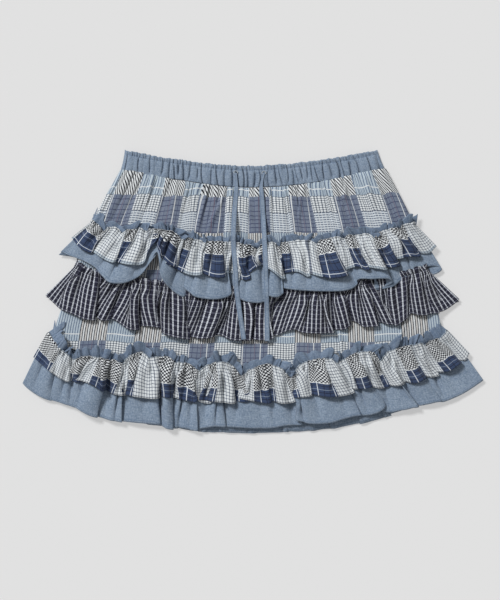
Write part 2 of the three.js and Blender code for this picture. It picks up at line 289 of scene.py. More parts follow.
def weave_chambray(name, deep, pale):
    loom = Loom(name, roughness=0.92, sheen=0.12)
    mottle = loom.slub(2.2, 2.2, 1.0)
    weft = loom.slub(9.0, 0.9, 3.0)
    warp = loom.slub(0.9, 9.0, 3.0)
    cloudy = loom.slub(30.0, 30.0, 1.0)
    mixed = loom.math("ADD", loom.math("MULTIPLY", weft, warp), loom.math("MULTIPLY", cloudy, 0.2))
    mixed = loom.math("MULTIPLY_ADD", mottle, 0.6, loom.math("SUBTRACT", mixed, 0.28))
    white_yarn = loom.math("MULTIPLY_ADD", mixed, 2.6, -0.45)
    white_yarn.node.use_clamp = True
    colour = loom.dye(white_yarn, deep, pale)
    # painted shade: the heading above the gathering line is darkened towards a deeper blue
    heading = loom.math("MULTIPLY", loom.math("LESS_THAN", loom.down, -0.5), HEADING_PAINTED_SHADE)
    colour = loom.dye(heading, colour, HEADING_PAINTED_SHADE_BLUE)
    return loom.finish(colour, thread=srgb(96, 116, 143))


chambray = weave_chambray("chambray", srgb(105, 123, 146), srgb(150, 165, 182))
tape_cloth = weave_chambray("drawstring_tape", srgb(110, 128, 151), srgb(150, 165, 183))
thread_cloth = weave_chambray("eyelet_thread", srgb(150, 160, 170), srgb(196, 202, 206))

# %% [markdown]
# ## The dark check
# The single ruffle is a navy cotton with a bold white stripe in the warp and a fainter grey line in
# the weft. Where they cross, the white is whole; elsewhere the navy yarn shows through it in ticks.

# %% Weave the dark check
CHECK_REPEAT = 6.2

loom = Loom("gingham", roughness=0.9, sheen=0.1)
warp_white = loom.stripes(loom.across, CHECK_REPEAT, 1.65)
weft_grey = loom.stripes(loom.down, CHECK_REPEAT, 1.2)
ticks = loom.stripes(loom.down, 2.2, 0.6)
colour = loom.dye(weft_grey, srgb(33, 34, 51), srgb(88, 90, 106))
colour = loom.dye(warp_white, colour, srgb(200, 205, 212))
navy_ticks = loom.both(warp_white, ticks, loom.opposite(weft_grey))
colour = loom.dye(navy_ticks, colour, srgb(104, 108, 124))
gingham = loom.finish(colour, thread=srgb(30, 31, 48))

# %% [markdown]
# ## The body plaid
# The body cloth changes its warp every few centimetres and its weft too, so it looks like patches
# though it is woven in one. There are two warps, A and B, and two wefts, a slate row and a striped row.
# Each of the four meetings has its own small pattern, which is laid on through its mask.

# %% Weave the body plaid
WARP_REPEAT = 75.0
WARP_A = 37.0
WEFT_REPEAT = 97.8
SLATE_ROW = 47.8
BLACK = srgb(26, 28, 40)
WHITE = srgb(220, 224, 226)
LIGHT_BLUE = srgb(180, 194, 204)


def patchwork_loom(name):
    """A loom with the place in its warp's repeat, and the mask of warp A."""
    loom = Loom(name, roughness=0.92, sheen=0.1)
    in_repeat = loom.math("FLOORED_MODULO", loom.across, WARP_REPEAT)
    return loom, in_repeat, loom.math("LESS_THAN", in_repeat, WARP_A)


loom, in_repeat, warp_a = patchwork_loom("patchwork_body")
in_row = loom.math("FLOORED_MODULO", loom.down, WEFT_REPEAT)
slate_row = loom.math("LESS_THAN", in_row, SLATE_ROW)

# A in the slate row: slate and mauve, with navy lines, a faint red one and two white ones
cloudy = loom.slub(40.0, 24.0, 1.0)
slate = loom.dye(cloudy, srgb(104, 118, 141), srgb(131, 138, 153))
navy_rows = loom.lines(in_row, (5, 12, 19, 25, 30, 35, 40, 46), 1.0)
slate = loom.dye(navy_rows, slate, srgb(66, 74, 102))
slate = loom.dye(loom.lines(in_repeat, (6, 13, 20, 31), 0.7), slate, srgb(72, 80, 108))
slate = loom.dye(loom.lines(in_repeat, (18,), 0.8), slate, srgb(108, 98, 116))
slate = loom.dye(loom.lines(in_repeat, (1.0, 26), 1.2), slate, WHITE)

# B in the slate row: a small white and black check above, light blue with dark picks below
check_ends = loom.stripes(in_repeat, 3.9, 1.3)
check_picks = loom.stripes(in_row, 3.0, 1.0)
small_check = loom.dye(loom.either(check_ends, check_picks), srgb(232, 236, 237), srgb(138, 147, 158))
small_check = loom.dye(loom.both(check_ends, check_picks), small_check, BLACK)
picks = loom.dye(loom.stripes(in_row, 3.1, 1.15), srgb(205, 214, 221), srgb(86, 97, 120))
picks = loom.dye(loom.stripes(in_repeat, 4.4, 0.7), picks, WHITE)
b_slate = loom.dye(loom.math("LESS_THAN", in_row, 22.0), picks, small_check)

# the striped row: white, black and tan ends in A, and light blue with navy ends in B; the gathers
# pull the ends of A aslant above the first slate row
aslant = loom.math("MULTIPLY_ADD", loom.down, -0.5, in_repeat)
below_top = loom.math("GREATER_THAN", loom.down, 0.0)
top_row = loom.both(loom.math("LESS_THAN", loom.down, 0.0), loom.stripes(aslant, 3.1, 1.3))
low_row = loom.both(below_top, loom.stripes(in_repeat, 3.2, 1.2))
tan_ends = loom.both(below_top, loom.stripes(in_repeat, 6.4, 0.9, 1.7))
a_striped = loom.dye(tan_ends, WHITE, srgb(190, 182, 174))
a_striped = loom.dye(loom.either(top_row, low_row), a_striped, BLACK)
b_striped = loom.dye(loom.stripes(in_repeat, 3.4, 1.2), LIGHT_BLUE, srgb(102, 118, 143))
b_striped = loom.dye(loom.band(in_row, WEFT_REPEAT - 10, WEFT_REPEAT - 8.6), b_striped, WHITE)

colour = loom.dye(
    slate_row,
    loom.dye(warp_a, b_striped, a_striped),
    loom.dye(warp_a, b_slate, slate),
)
patchwork_body = loom.finish(colour)

# %% [markdown]
# ## The ruffle plaid
# The narrow strips are cut across the same kind of patchwork. Column A goes from a tiny black and white
# check to a navy windowpane, with a white line between them. Column B is a white ground with a fine
# grid, and light blue where the weft changes. Zero on the down axis is where column A changes.

# %% Weave the ruffle plaid
loom, in_repeat, warp_a = patchwork_loom("patchwork_ruffle")
blocks = [
    loom.both(loom.stripes(in_repeat, 4.3, 2.3, start), loom.stripes(loom.down, 4.3, 2.3, start))
    for start in (0.0, 2.15)
]
tiny_check = loom.dye(loom.either(*blocks), WHITE, BLACK)
pane = loom.either(loom.stripes(in_repeat, 8.0, 0.9, 2.0), loom.stripes(loom.down, 9.0, 0.9, 3.5))
windowpane = loom.dye(pane, srgb(54, 69, 99), srgb(32, 38, 56))
windowpane = loom.dye(loom.band(loom.down, 8.5, 9.3), windowpane, srgb(128, 140, 158))
pane_white = loom.either(
    loom.band(in_repeat, 9.5, 10.6), loom.band(in_repeat, 33.5, 34.5), loom.band(loom.down, 25.5, 26.4)
)
windowpane = loom.dye(pane_white, windowpane, srgb(205, 212, 220))
column_a = loom.dye(loom.math("LESS_THAN", loom.down, 0.0), windowpane, tiny_check)
column_a = loom.dye(loom.band(loom.down, -0.5, 0.5), column_a, WHITE)

fine = loom.either(loom.stripes(in_repeat, 3.8, 0.82), loom.stripes(loom.down, 4.0, 0.82))
knots = loom.both(loom.stripes(in_repeat, 3.8, 1.0), loom.stripes(loom.down, 4.0, 1.0))
ground = loom.dye(loom.band(loom.down, -32, 27), LIGHT_BLUE, srgb(216, 221, 223))
column_b = loom.dye(fine, ground, srgb(118, 126, 140))
column_b = loom.dye(knots, column_b, srgb(58, 62, 76))
patchwork_ruffle = loom.finish(loom.dye(warp_a, column_b, column_a))

# %% [markdown]
# ## Smooth lines
# A hem that folds over itself can't be a height map: seen from above it runs back beneath itself. So
# each hem is a curve in space through a few marked points, and the cloth is stretched from the
# gathering line down to it. A centripetal spline is used because it makes no loops where two marks
# are close together, which is where the cloth turns under.

# %% Helpers for lines
def through(marks, step):
    """A smooth curve through the marks, cut into columns about a step apart along its length."""
    p = np.asarray(marks, float)
    p = np.vstack([2 * p[0] - p[1], p, 2 * p[-1] - p[-2]])
    knot = np.cumsum(np.r_[0, np.linalg.norm(np.diff(p, axis=0), axis=1) ** 0.5])
    dense = []
    for i in range(1, len(p) - 2):
        span = knot[i + 1] - knot[i]
        speed = []
        for j in (i, i + 1):
            before, after = knot[j] - knot[j - 1], knot[j + 1] - knot[j]
            slope_in, slope_out = (p[j] - p[j - 1]) / before, (p[j + 1] - p[j]) / after
            speed.append((slope_in * after + slope_out * before) / (before + after) * span)
        t = np.linspace(0, 1, 16, endpoint=False)[:, None]
        start, end = p[i], p[i + 1]
        dense.append(
            (2 * t**3 - 3 * t**2 + 1) * start + (t**3 - 2 * t**2 + t) * speed[0]
            + (3 * t**2 - 2 * t**3) * end + (t**3 - t**2) * speed[1]
        )
    dense = np.vstack([*dense, p[-2:-1]])
    along = length_along(dense)
    places = np.linspace(0, along[-1], int(along[-1] / step) + 1)
    return np.column_stack([np.interp(places, along, column) for column in dense.T])


def length_along(line):
    return np.cumsum(np.r_[0, np.linalg.norm(np.diff(line, axis=0), axis=1)])


def points_on(line, at, known=None):
    """The X and Y of a line at some places. known is where its own points are, and without it they
    are spread evenly from 0 to 1."""
    known = np.linspace(0, 1, len(line)) if known is None else known
    return np.column_stack([np.interp(at, known, line[:, k]) for k in (0, 1)])


def unit(vectors):
    return vectors / np.linalg.norm(vectors, axis=1, keepdims=True)


def evened(values, reach):
    """The values averaged over this many neighbours, keeping the ends."""
    reach = int(reach) // 2 * 2 + 1
    weights = np.hanning(reach + 2)[1:-1]
    padded = np.pad(values, reach // 2, mode="reflect", reflect_type="odd")
    return np.convolve(padded, weights / weights.sum(), "valid")


def stations(values, t):
    """A smooth value through equally spaced stations, at t from 0 to 1."""
    values = np.asarray(values, float)
    last = len(values) - 1
    t = np.asarray(t, float) * last
    k = np.clip(t.astype(int), 0, last - 1)
    w = t - k
    before, start, end, after = [values[np.clip(k + i, 0, last)] for i in (-1, 0, 1, 2)]
    slope_in, slope_out = (end - before) / 2, (after - start) / 2
    rise = end - start
    bend = 3 * rise - 2 * slope_in - slope_out + w * (slope_in + slope_out - 2 * rise)
    return start + w * (slope_in + w * bend)

# %% [markdown]
# ## Crimped cloth
# Gathers are never even. Their widths, heights and leans are drawn at random, but from a numbered
# seed, so that the same skirt comes out each time. Real gathers have broad round tops and sharp
# valleys, because the thread pinches the cloth only where it passes through.

# %% Helpers for gathers
def wander(place, wavelength, seed):
    """A slow unevenness between -1 and 1 along a line."""
    rng = np.random.default_rng(seed)
    span = float(np.max(place) - np.min(place))
    count = int(span / wavelength) + 4
    posts = np.min(place) + (np.arange(count) - 1) * wavelength
    k = np.clip(((place - posts[0]) / wavelength).astype(int), 0, count - 2)
    t = (place - posts[k]) / wavelength
    t = t * t * (3 - 2 * t)
    values = rng.uniform(-1, 1, count)
    return values[k] * (1 - t) + values[k + 1] * t


def crimp(place, spacing, seed, sharp=0.6, skew=0.0):
    """Gathers along a line: broad tops and narrow valleys, uneven in width and height.

    Gives the height, 0 to 1.25, how far each gather has fallen to one side, and the sway that opens
    its top and closes its valley, in the units of place. skew makes most gathers climb slowly and drop
    steeply on their right, as they do where they have been smoothed one way."""
    rng = np.random.default_rng(seed)
    valleys = [float(np.min(place)) - spacing * 0.5]
    while valleys[-1] < np.max(place) + spacing:
        valleys.append(valleys[-1] + spacing * rng.uniform(0.5, 1.5))
    valleys = np.array(valleys)
    heights = rng.uniform(0.45, 1.25, len(valleys))
    leans = rng.uniform(-1, 1, len(valleys))
    k = np.clip(np.searchsorted(valleys, place) - 1, 0, len(valleys) - 2)
    phase = (place - valleys[k]) / (valleys[k + 1] - valleys[k])
    power = np.exp(skew * rng.uniform(-0.4, 1.0, len(valleys)))[k]
    height = heights[k] * np.abs(np.sin(np.pi * phase**power)) ** sharp
    sway = -(valleys[k + 1] - valleys[k]) / (2 * np.pi) * np.sin(2 * np.pi * phase)
    return height, height * leans[k], sway


def ease(value, low, high):
    """0 up to low, 1 from high on, and a smooth rise between."""
    t = np.clip((value - low) / (high - low), 0, 1)
    return t * t * (3 - 2 * t)


def fading(value, reach, power=2):
    """1 at zero, falling towards 0 beyond the reach. A higher power makes a flatter top."""
    return np.exp(-(np.abs(value / reach) ** power))

# %% [markdown]
# ## From a grid of points to a piece of cloth
# A sheet of cloth is a grid: columns across it and rows down it. Turning the grid into faces by hand
# keeps the fabric's own coordinates exact, which a simulation or a sculpt would lose. A Solidify
# modifier then gives the sheet its real thickness, so hems have an edge that catches the light.

# %% Helpers that make cloth
CLOTH_THICK = 0.6
made = {}


def grid_faces(points):
    """The four corners of each face of a grid of points."""
    rows, columns = points.shape[:2]
    index = np.arange(rows * columns).reshape(rows, columns)
    corners = [index[:-1, :-1], index[1:, :-1], index[1:, 1:], index[:-1, 1:]]
    return np.stack(corners, axis=-1).reshape(-1, 4)


def grid_area(points):
    """The area of a grid of points, in square metres."""
    a = points[1:, :-1] - points[:-1, :-1]
    b = points[:-1, 1:] - points[:-1, :-1]
    return float(np.linalg.norm(np.cross(a, b), axis=2).sum() * MM * MM)


def cut_cloth(name, points, cloth_uv, sewing_uv, material, thick=CLOTH_THICK, flip=False):
    """Makes a piece from a grid of points in millimetres, rows by columns. A piece with no thickness to
    add is a closed tube, so points that fall together are joined into one."""
    faces = grid_faces(points)
    if flip:
        faces = faces[:, ::-1]
    mesh = bpy.data.meshes.new(f"{name}_cloth")
    mesh.from_pydata((points.reshape(-1, 3) * MM).tolist(), [], faces.tolist())
    mesh.polygons.foreach_set("use_smooth", np.ones(len(faces), bool))
    loops = faces.reshape(-1)
    for uv_name, uv in (("cloth", cloth_uv), ("sewing", sewing_uv)):
        layer = mesh.uv_layers.new(name=uv_name)
        layer.data.foreach_set("uv", (uv.reshape(-1, 2)[loops] * MM).astype(np.float32).ravel())
    mesh.materials.append(material)
    piece = bpy.data.objects.new(f"{name}_cloth", mesh)
    bpy.context.collection.objects.link(piece)
    if thick:
        solid = piece.modifiers.new("thickness", "SOLIDIFY")
        solid.thickness = thick * MM
        solid.offset = 0
    else:
        closed = bmesh.new()
        closed.from_mesh(mesh)
        bmesh.ops.remove_doubles(closed, verts=closed.verts, dist=1e-3 * MM)
        closed.to_mesh(mesh)
        closed.free()
    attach(piece, "root")
    made[name] = piece
    print(name, points.shape[0] * points.shape[1], "points,", round(grid_area(points), 4), "m2")
    return piece


# %% [markdown]
# ## The lines of the skirt
# Everything hangs on a few lines: the waistband's two edges and the seams where the ruffles are
# gathered on. Each is marked on the laid-out skirt, in millimetres from its middle.

# %% Mark the sewing lines
WAIST_TOP = [
    (-172.8, 191), (-152.6, 187), (-125.6, 181.6), (-91.8, 176.9), (-51.3, 172.1), (-4.1, 169.4),
    (43.2, 172.1), (83.7, 176.9), (117.5, 181.6), (147.2, 187), (167.4, 191),
]
WAIST_SEAM = [
    (-177.7, 165.6), (-149.9, 157.7), (-120.6, 153.2), (-95.6, 150.5), (-69.3, 146.1), (-40.1, 142.7),
    (-4.1, 140.9), (46.8, 143.1), (76.1, 146.6), (111.2, 151.7), (139.1, 155.4), (177.1, 166.5),
]
HIP_SEAM = [
    (-219, 93.5), (-207.9, 88.4), (-186.3, 84.6), (-167.4, 82.4), (-147.2, 82.9), (-125.6, 82.4),
    (-109.4, 79), (-86.4, 70.9), (-62.1, 66.2), (-41.9, 65.5), (-23, 64.4), (-4.1, 60.8),
    (13.5, 62.1), (27, 65.1), (45.9, 65.5), (60.8, 67.1), (93.2, 68.4), (116.1, 73.2),
    (136.4, 74.5), (155.2, 76.7), (171.5, 79.4), (185, 82.6), (199.8, 87.1), (210.6, 89.8),
    (219.5, 89.8),
]
CHECK_SEAM = [
    (-241.7, 33.1), (-220.1, 23), (-179.6, 14.9), (-125.6, 8.1), (-64.8, 2), (-4.1, -0.7),
    (63.5, 0.7), (131, 7.4), (191.7, 18.2), (218.7, 25), (234.9, 30.4),
]
HEM_SEAM = [
    (-278.1, -56), (-270, -67.5), (-256.5, -80.3), (-236.3, -88.4), (-213.3, -88.4), (-191.7, -93.2),
    (-175.5, -91.8), (-162, -86.1), (-148.5, -82.4), (-131, -88.4), (-112.1, -89.1), (-95.9, -96.5),
    (-79.7, -98.6), (-60.8, -99.9), (-43.2, -95.2), (-31.1, -98.6), (-13.5, -108), (1.4, -104),
    (14.9, -99.2), (29.7, -101.2), (50, -107.3), (63.5, -99.2), (79.7, -93.2), (104, -91.1),
    (118.8, -93.2), (132.3, -87.1), (149.9, -81.7), (171.5, -85.1), (185, -80.3), (199.8, -75.6),
    (216, -72.9), (232.2, -68.2), (245.7, -65.5), (256.5, -60.8), (263.2, -52.7),
]
for title, marks in (("hip", HIP_SEAM), ("check", CHECK_SEAM), ("hem", HEM_SEAM)):
    print(title, "gathering line is", round(length_along(through(marks, 1.0))[-1]), "mm long")

# %% [markdown]
# ## The waistband
# A casing of chambray is sewn round a wide elastic, with a row of stitches just below its top edge.
# The elastic draws the cloth into upright gathers, with narrow tucks between them, and leaves a small
# frill above the stitches. It could be sculpted, but gathers made by a rule stay even enough to look
# sewn. They are closest in the middle and wider apart towards the sides, as the photograph shows.

# %% Gather the waistband
# the cut's width and folded depth, then the worn band's, all in millimetres but BAND_LONG in metres
BAND_CUT = 525.0
BAND_WIDTH = 345
HALF_BAND = 172
BAND_DEPTH = 36
FRILL = 0.19
GATHER = 10.5
FRILL_GATHER = 3.8
BAND_LOWEST = 0.35


def puckers(place, t, seed):
    """The narrow tucks where the elastic draws the casing in, closest together at the middle."""
    rng = np.random.default_rng(seed)
    depth = 0 * place + 0 * t
    middle = place.min() + 5
    while middle < place.max() - 4:
        lean, bow = rng.uniform(-3.4, 3.4), rng.uniform(-1.6, 1.6)
        start, stop = rng.uniform(0.0, 0.3), rng.uniform(0.85, 1.6)
        deep, half = rng.uniform(2.4, 5.4), rng.uniform(1.0, 2.2)
        off = place - middle - lean * (t - 0.5) - bow * np.sin(np.pi * t)
        tuck = deep * fading(off, np.where(off > 0, half, 0.6 * half), 1.4)
        tuck = tuck * ease(t, start - 0.1, start + 0.15) * (1 - ease(t, stop - 0.25, stop))
        depth = np.maximum(depth, tuck)
        middle += (6.2 + 6.5 * abs(middle / HALF_BAND)) * rng.uniform(0.5, 1.5)
    return depth


def waistband(name, front):
    columns, rows = (940, 20) if front else (420, 10)
    s = np.linspace(0, 1, columns)
    t = np.linspace(0, 1, rows)[:, None]
    top, seam = [points_on(through(marks, 1.0), s) for marks in (WAIST_TOP, WAIST_SEAM)]
    flat = top * (1 - t[..., None]) + seam * t[..., None]
    along = s * BAND_WIDTH
    place = (s - 0.5) * BAND_WIDTH
    closer = place * (1 - 0.1 * np.abs(place / HALF_BAND))
    seed = 11 if front else 61
    wide, wide_lean, _ = crimp(closer, GATHER, seed, 0.5, 0.5)
    narrow, _, narrow_sway = crimp(closer, FRILL_GATHER, seed + 1, 0.6, 0.9)

    # the gathers lean and sway to the side, those of the frill most at its free edge
    shift = 1.2 * wander(along, 12, seed + 2) * np.sin(t * 3.1) + 0.8 * wide_lean * np.sin(t * 2.6)
    shift = shift + 0.5 * narrow_sway * (1 - ease(t, FRILL, FRILL + 0.15))

    # their height: the casing bulges over the elastic and is pulled down along the stitches
    fade = 0.72 + 0.28 * np.sin(t * 6 + 5 * wander(along, 11, seed + 3))
    frill = 1 - ease(t, FRILL - 0.03, FRILL + 0.12)
    gathers = 3.0 + 1.5 * wide * fade - puckers(place[None], t, seed + 5) * (1 - 0.6 * frill)
    gathers = gathers + 1.7 * (narrow - 0.6) * frill
    bulge = 0.4 + 0.6 * np.sin(np.pi * np.clip((t - FRILL) / (1 - FRILL), 0, 1)) ** 0.8
    side = (1 - np.abs(2 * s - 1) ** 46)[None]
    if front:
        z = 3.4 + side * (2.0 * bulge + gathers - 1.0 * fading(t - FRILL, 0.05))
    else:
        z = 3.1 - side * (1.0 * bulge + 0.2 * gathers * fade + 1.9 * narrow)
        z = np.maximum(z, BAND_LOWEST)
    points = np.dstack([flat[..., 0] + shift, flat[..., 1] + 0 * z, z])
    ragged = 0.8 * wander(along, 3.5, seed + 4) + 1.1 * narrow - 0.6
    points[..., 1] += ragged * (1 - ease(t, 0, 0.2))

    u = (s * BAND_CUT)[None] + 0 * t
    v = t * BAND_DEPTH + 0 * u
    sewing = np.dstack([v + 9, v - BAND_DEPTH * FRILL])
    piece = cut_cloth(name, points, np.dstack([u, v]), sewing, chambray, flip=not front)
    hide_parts(name)


waistband("waistband_front", True)
waistband("waistband_back", False)

# %% [markdown]
# ## The body
# The body is a front and a back panel of plaid, narrow at the waist and wide at the hem ruffle. Its
# top edge is eased into the waistband, so small gathers run down from the seam and fade. The panel
# lies on the layers below it, so its folds stay low. Its warp fans out with the cut, and the weft
# stays nearly level.

# %% Lay the body panels
# the panel's side edges and the Y of five stations across it, at the waist, hip, check and hem seams
BODY_LEFT = [-177.5, -216.5, -239, -271.5]
BODY_RIGHT = [178, 218, 235, 256.5]
BODY_Y = [
    [165.5, 149, 140.5, 149, 167],
    [93, 73, 58.5, 72, 89],
    [32.5, 11, -4, 8, 29.5],
    [-62, -93, -106.5, -92, -58],
]
PANEL_LONG = 262
WEAVE_WIDE = 484
WEAVE_FLARE = 59
WAIST_LANE = 396
SLATE_TOP = -126.9
SEAM_ALLOWANCE = 10

# each crease runs from one X, Y to another
CREASES = [
    (-139, 160, -149, 118), (-104, 152, -115, 104), (-66, 144, -78, 92), (-42, 139, -64, 84),
    (-10, 139, -5, 95), (37, 139, 50, 88), (63, 145, 58, 102), (92, 147, 104, 96),
    (124, 154, 116, 117), (147, 156, 161, 108), (-84, 150, -88, 122), (19, 140, 22, 112),
    (-205, -8, -196, -52), (-150, -30, -160, -66), (110, -42, 118, -80), (205, -22, 196, -60),
]


def creased(x, y):
    """The height of a few soft creases: a narrow valley with a low ridge beside it."""
    height = 0 * x
    for x0, y0, x1, y1 in CREASES:
        long = np.hypot(x1 - x0, y1 - y0)
        along = ((x - x0) * (x1 - x0) + (y - y0) * (y1 - y0)) / long**2
        aside = ((x - x0) * (y1 - y0) - (y - y0) * (x1 - x0)) / long
        profile = 2.4 * fading(aside + 3.2, 2.8) - 1.6 * fading(aside, 1.5)
        height += fading(along - 0.45, 0.6, 4) * profile
    return height


def body_panel(name, front):
    columns, rows = (390, 86) if front else (160, 60)
    s = np.linspace(0, 1, columns)
    t = np.linspace(0, 1, rows)
    down = t[:, None]
    left, right = stations(BODY_LEFT, t), stations(BODY_RIGHT, t)
    x = left[:, None] + (right - left)[:, None] * s
    across = np.array([stations(line, s) for line in BODY_Y])
    y = np.array([stations(across[:, c], t) for c in range(columns)]).T
    y[0] -= 0.5
    y -= SEAM_ALLOWANCE * ease(t, 0.9, 1.0)[:, None]

    # the place on the fabric, which widens with the cut and is pushed along left of the middle
    cloth = (s - 0.49)[None] * (WEAVE_WIDE + WEAVE_FLARE * down) + 0 * x
    cloth = cloth + 11 * fading(x + 78, 16) * ease(y, 0, 60)

    # small gathers at the waist seam, and broader soft folds that reach further down
    seed = 21 if front else 71
    lane = (s - 0.5) * WAIST_LANE
    eased, _, eased_sway = crimp(lane * 1.35, 9.5, seed, 0.5)
    soft, soft_lean, soft_sway = crimp(lane, 20, seed + 1, 0.9)
    eased = eased[None] * fading(down, 0.13, 1.5)
    sway = 0.5 * soft_sway[None] * fading(down, 0.3)
    sway = sway + 0.5 * eased_sway[None] * fading(down, 0.13, 1.5)
    soft_lean = soft_lean[None] * fading(down, 0.3) * ease(down, 0, 0.05)
    soft = soft[None] * fading(down, 0.32) * ease(down, -0.05, 0.06)

    # the front lies on everything below it, and the back is pressed against the table
    if front:
        base = 5.6 + 2.8 * ease(down, 0, 0.14)
        roll = wander(lane, 26, seed + 2)[None] * (0.4 + 0.6 * np.sin(3 * down))
        lean = fading(x + 58 + 0.45 * (y - 100), 7) * fading(y - 100, 26)
        z = base + 3.4 * eased + 3.2 * soft + 1.2 * roll + 1.5 * lean + creased(x, y)
    else:
        base = 1.6 + 4.8 * ease(down, 0, 0.16)
        z = base - 0.3 * eased - 0.2 * soft
    side = np.minimum(1, (1 - np.abs(2 * s - 1)) / 0.012)[None]
    middle = 7.0 if front else 6.9
    z = z * side**0.5 + np.minimum(base, middle) * (1 - side**0.5)
    x = x + 1.2 * wander(s * 400, 12, seed + 5)[None] * fading(down, 0.2) + 1.6 * soft_lean + sway
    points = np.dstack([x, y, z])

    lift = 5.4 * (2 * s - 1) ** 2
    level = -(y - lift) - SLATE_TOP + 0.5 * (z - 9) + 1.4 * wander(s * 400, 15, seed + 6)[None]
    weave = np.dstack([cloth + 0.25 * z + 2.7, level])
    unstitched = down * PANEL_LONG + 20 + 0 * x
    sewing = np.dstack([unstitched, unstitched])
    piece = cut_cloth(name, points, weave, sewing, patchwork_body, flip=not front)
    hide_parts(name)


body_panel("body_front", True)
body_panel("body_back", False)

# %% [markdown]
# ## How a ruffle falls
# A ruffle is a long strip drawn up on a short line, so the spare cloth has to go somewhere: close
# gathers at the seam, and a few broad folds at the hem that stand up, lean and double back. Each hem
# is marked fold by fold as X, Y and height. Where X runs back to the left, the cloth turns under
# itself. The folds fade into fine gathers as they climb to the seam.

# %% Mark the hems of the front ruffles
HIP_HEM = [
    (-259.2, 54, 8), (-249.8, 50, 11), (-236.3, 45.2, 12), (-222.8, 39.2, 14), (-212, 32.4, 15),
    (-202.5, 20.9, 19), (-193.1, 12.8, 22), (-178.2, 11.5, 23), (-163.4, 14.9, 23), (-149.9, 23.6, 22),
    (-139.1, 39.2, 22), (-128.2, 53.3, 26), (-124.9, 40.5, 29), (-124.2, 24.3, 28), (-116.1, 9.5, 22.5),
    (-104, -0.7, 16.5), (-92.5, -6.8, 14.5), (-89.8, -3.4, 13.5), (-94.5, 5.4, 13), (-97.2, 10.8, 13),
    (-87.8, 1.4, 19), (-77, -6.1, 22), (-62.1, -9.5, 23), (-44.6, -9.5, 23), (-32.4, -6.1, 21),
    (-27.7, -2, 18.5), (-33.8, 5.4, 15), (-39.2, 11.5, 14), (-28.4, 5.4, 14.5), (-20.2, -6.8, 17),
    (-13.5, -11.5, 18), (-1.4, -14.2, 19), (12.2, -14.2, 18.5), (24.3, -10.1, 15), (21.6, -5.4, 17),
    (14.9, -1.4, 21), (24.3, -6.1, 23), (35.1, -6.1, 22), (41.2, -0.7, 19), (35.1, 3.4, 15.5),
    (37.8, 5.4, 17), (50, 3.4, 20), (77, 1.4, 22), (104, 0.7, 22), (124.2, 2, 22),
    (135, 5.4, 20), (140.4, 10.8, 18), (139.7, 15.5, 19.5), (147.2, 17.6, 23), (158, 17.1, 25),
    (171.5, 17.8, 25), (182.2, 17.6, 24), (187, 13.5, 20), (178.2, 7.4, 15), (163.4, 3.4, 14),
    (168.8, 2.7, 13.5), (179.6, 5, 14.5), (189, 7.7, 16), (197.1, 14.2, 13), (206.6, 20, 13),
    (218.7, 19.6, 12), (224.1, 26.3, 9.5), (230.9, 32.4, 9), (241.7, 35.1, 8), (251.1, 33.5, 7),
    (254.5, 30.4, 6.5), (248.4, 25, 6.2), (240.3, 22.3, 6),
]
CHECK_HEM = [
    (-279.5, -4.1, 7.5), (-270, -13.5, 9.5), (-259.2, -23, 11), (-243, -29.7, 15.5),
    (-228.2, -36.5, 16), (-212, -38.6, 14), (-229, -34.4, 9), (-214, -32.8, 9.5), (-206.6, -36.5, 14),
    (-199.8, -39.2, 16), (-193.1, -38.2, 14.5), (-197.1, -35.8, 11), (-189, -36.5, 12),
    (-180.9, -41.2, 15), (-168.8, -49.3, 17.5), (-160.7, -51.3, 16.5), (-151.9, -50.6, 14),
    (-158, -47.2, 11), (-144.5, -46.3, 11.5), (-133.7, -47, 14), (-125.6, -48.6, 13),
    (-118.5, -50, 12.5), (-132, -47, 9), (-124, -49, 9.5), (-120.2, -55.4, 15), (-109.4, -60.1, 17.5),
    (-95.9, -62.8, 17.5), (-84.4, -64.5, 14.5), (-97.5, -59.3, 9), (-81, -61.2, 12),
    (-72.9, -62.8, 15.5), (-62.1, -62.1, 16), (-51.5, -59.2, 13.5), (-64, -55.8, 9), (-50, -57.4, 12),
    (-43.2, -58.5, 13), (-33.8, -63, 16), (-21.6, -65.7, 17.5), (-10.8, -65.5, 16), (-2.7, -64.1, 13),
    (-6.8, -62.1, 11), (4.1, -64.5, 14.5), (14.9, -65.1, 16.5), (28.5, -62.3, 14), (13, -58.3, 9),
    (32.4, -58.7, 12), (41.9, -54, 12.5), (55.4, -50.6, 13), (64.8, -54.7, 16), (79.7, -55.8, 17.5),
    (97.2, -55.8, 16.5), (110.7, -54.4, 14.5), (104, -51.3, 11), (114.8, -51, 12), (124.2, -50, 14),
    (130.3, -45.2, 12.5), (132.5, -43, 11.5), (120, -40.5, 8.5), (131, -38.3, 9), (140.4, -40.8, 13),
    (148.5, -47.2, 16), (158, -47.2, 16.5), (168.8, -45, 14.5), (162, -41.6, 11), (172.8, -41.3, 12),
    (180.9, -43.5, 15), (192, -44, 15), (177, -41, 9.5), (186, -42.2, 10), (195, -45, 14.5),
    (199.8, -41.2, 15), (207.9, -34.4, 12.5), (213.3, -29, 12), (221.4, -30.6, 16), (232.2, -31.5, 15),
    (243, -29, 13), (251.8, -28.4, 11), (245.7, -26.3, 9), (256.5, -25.7, 8.5), (268.7, -18.2, 6.8),
    (276.1, -11.9, 6.2), (278.1, -9.5, 6),
]
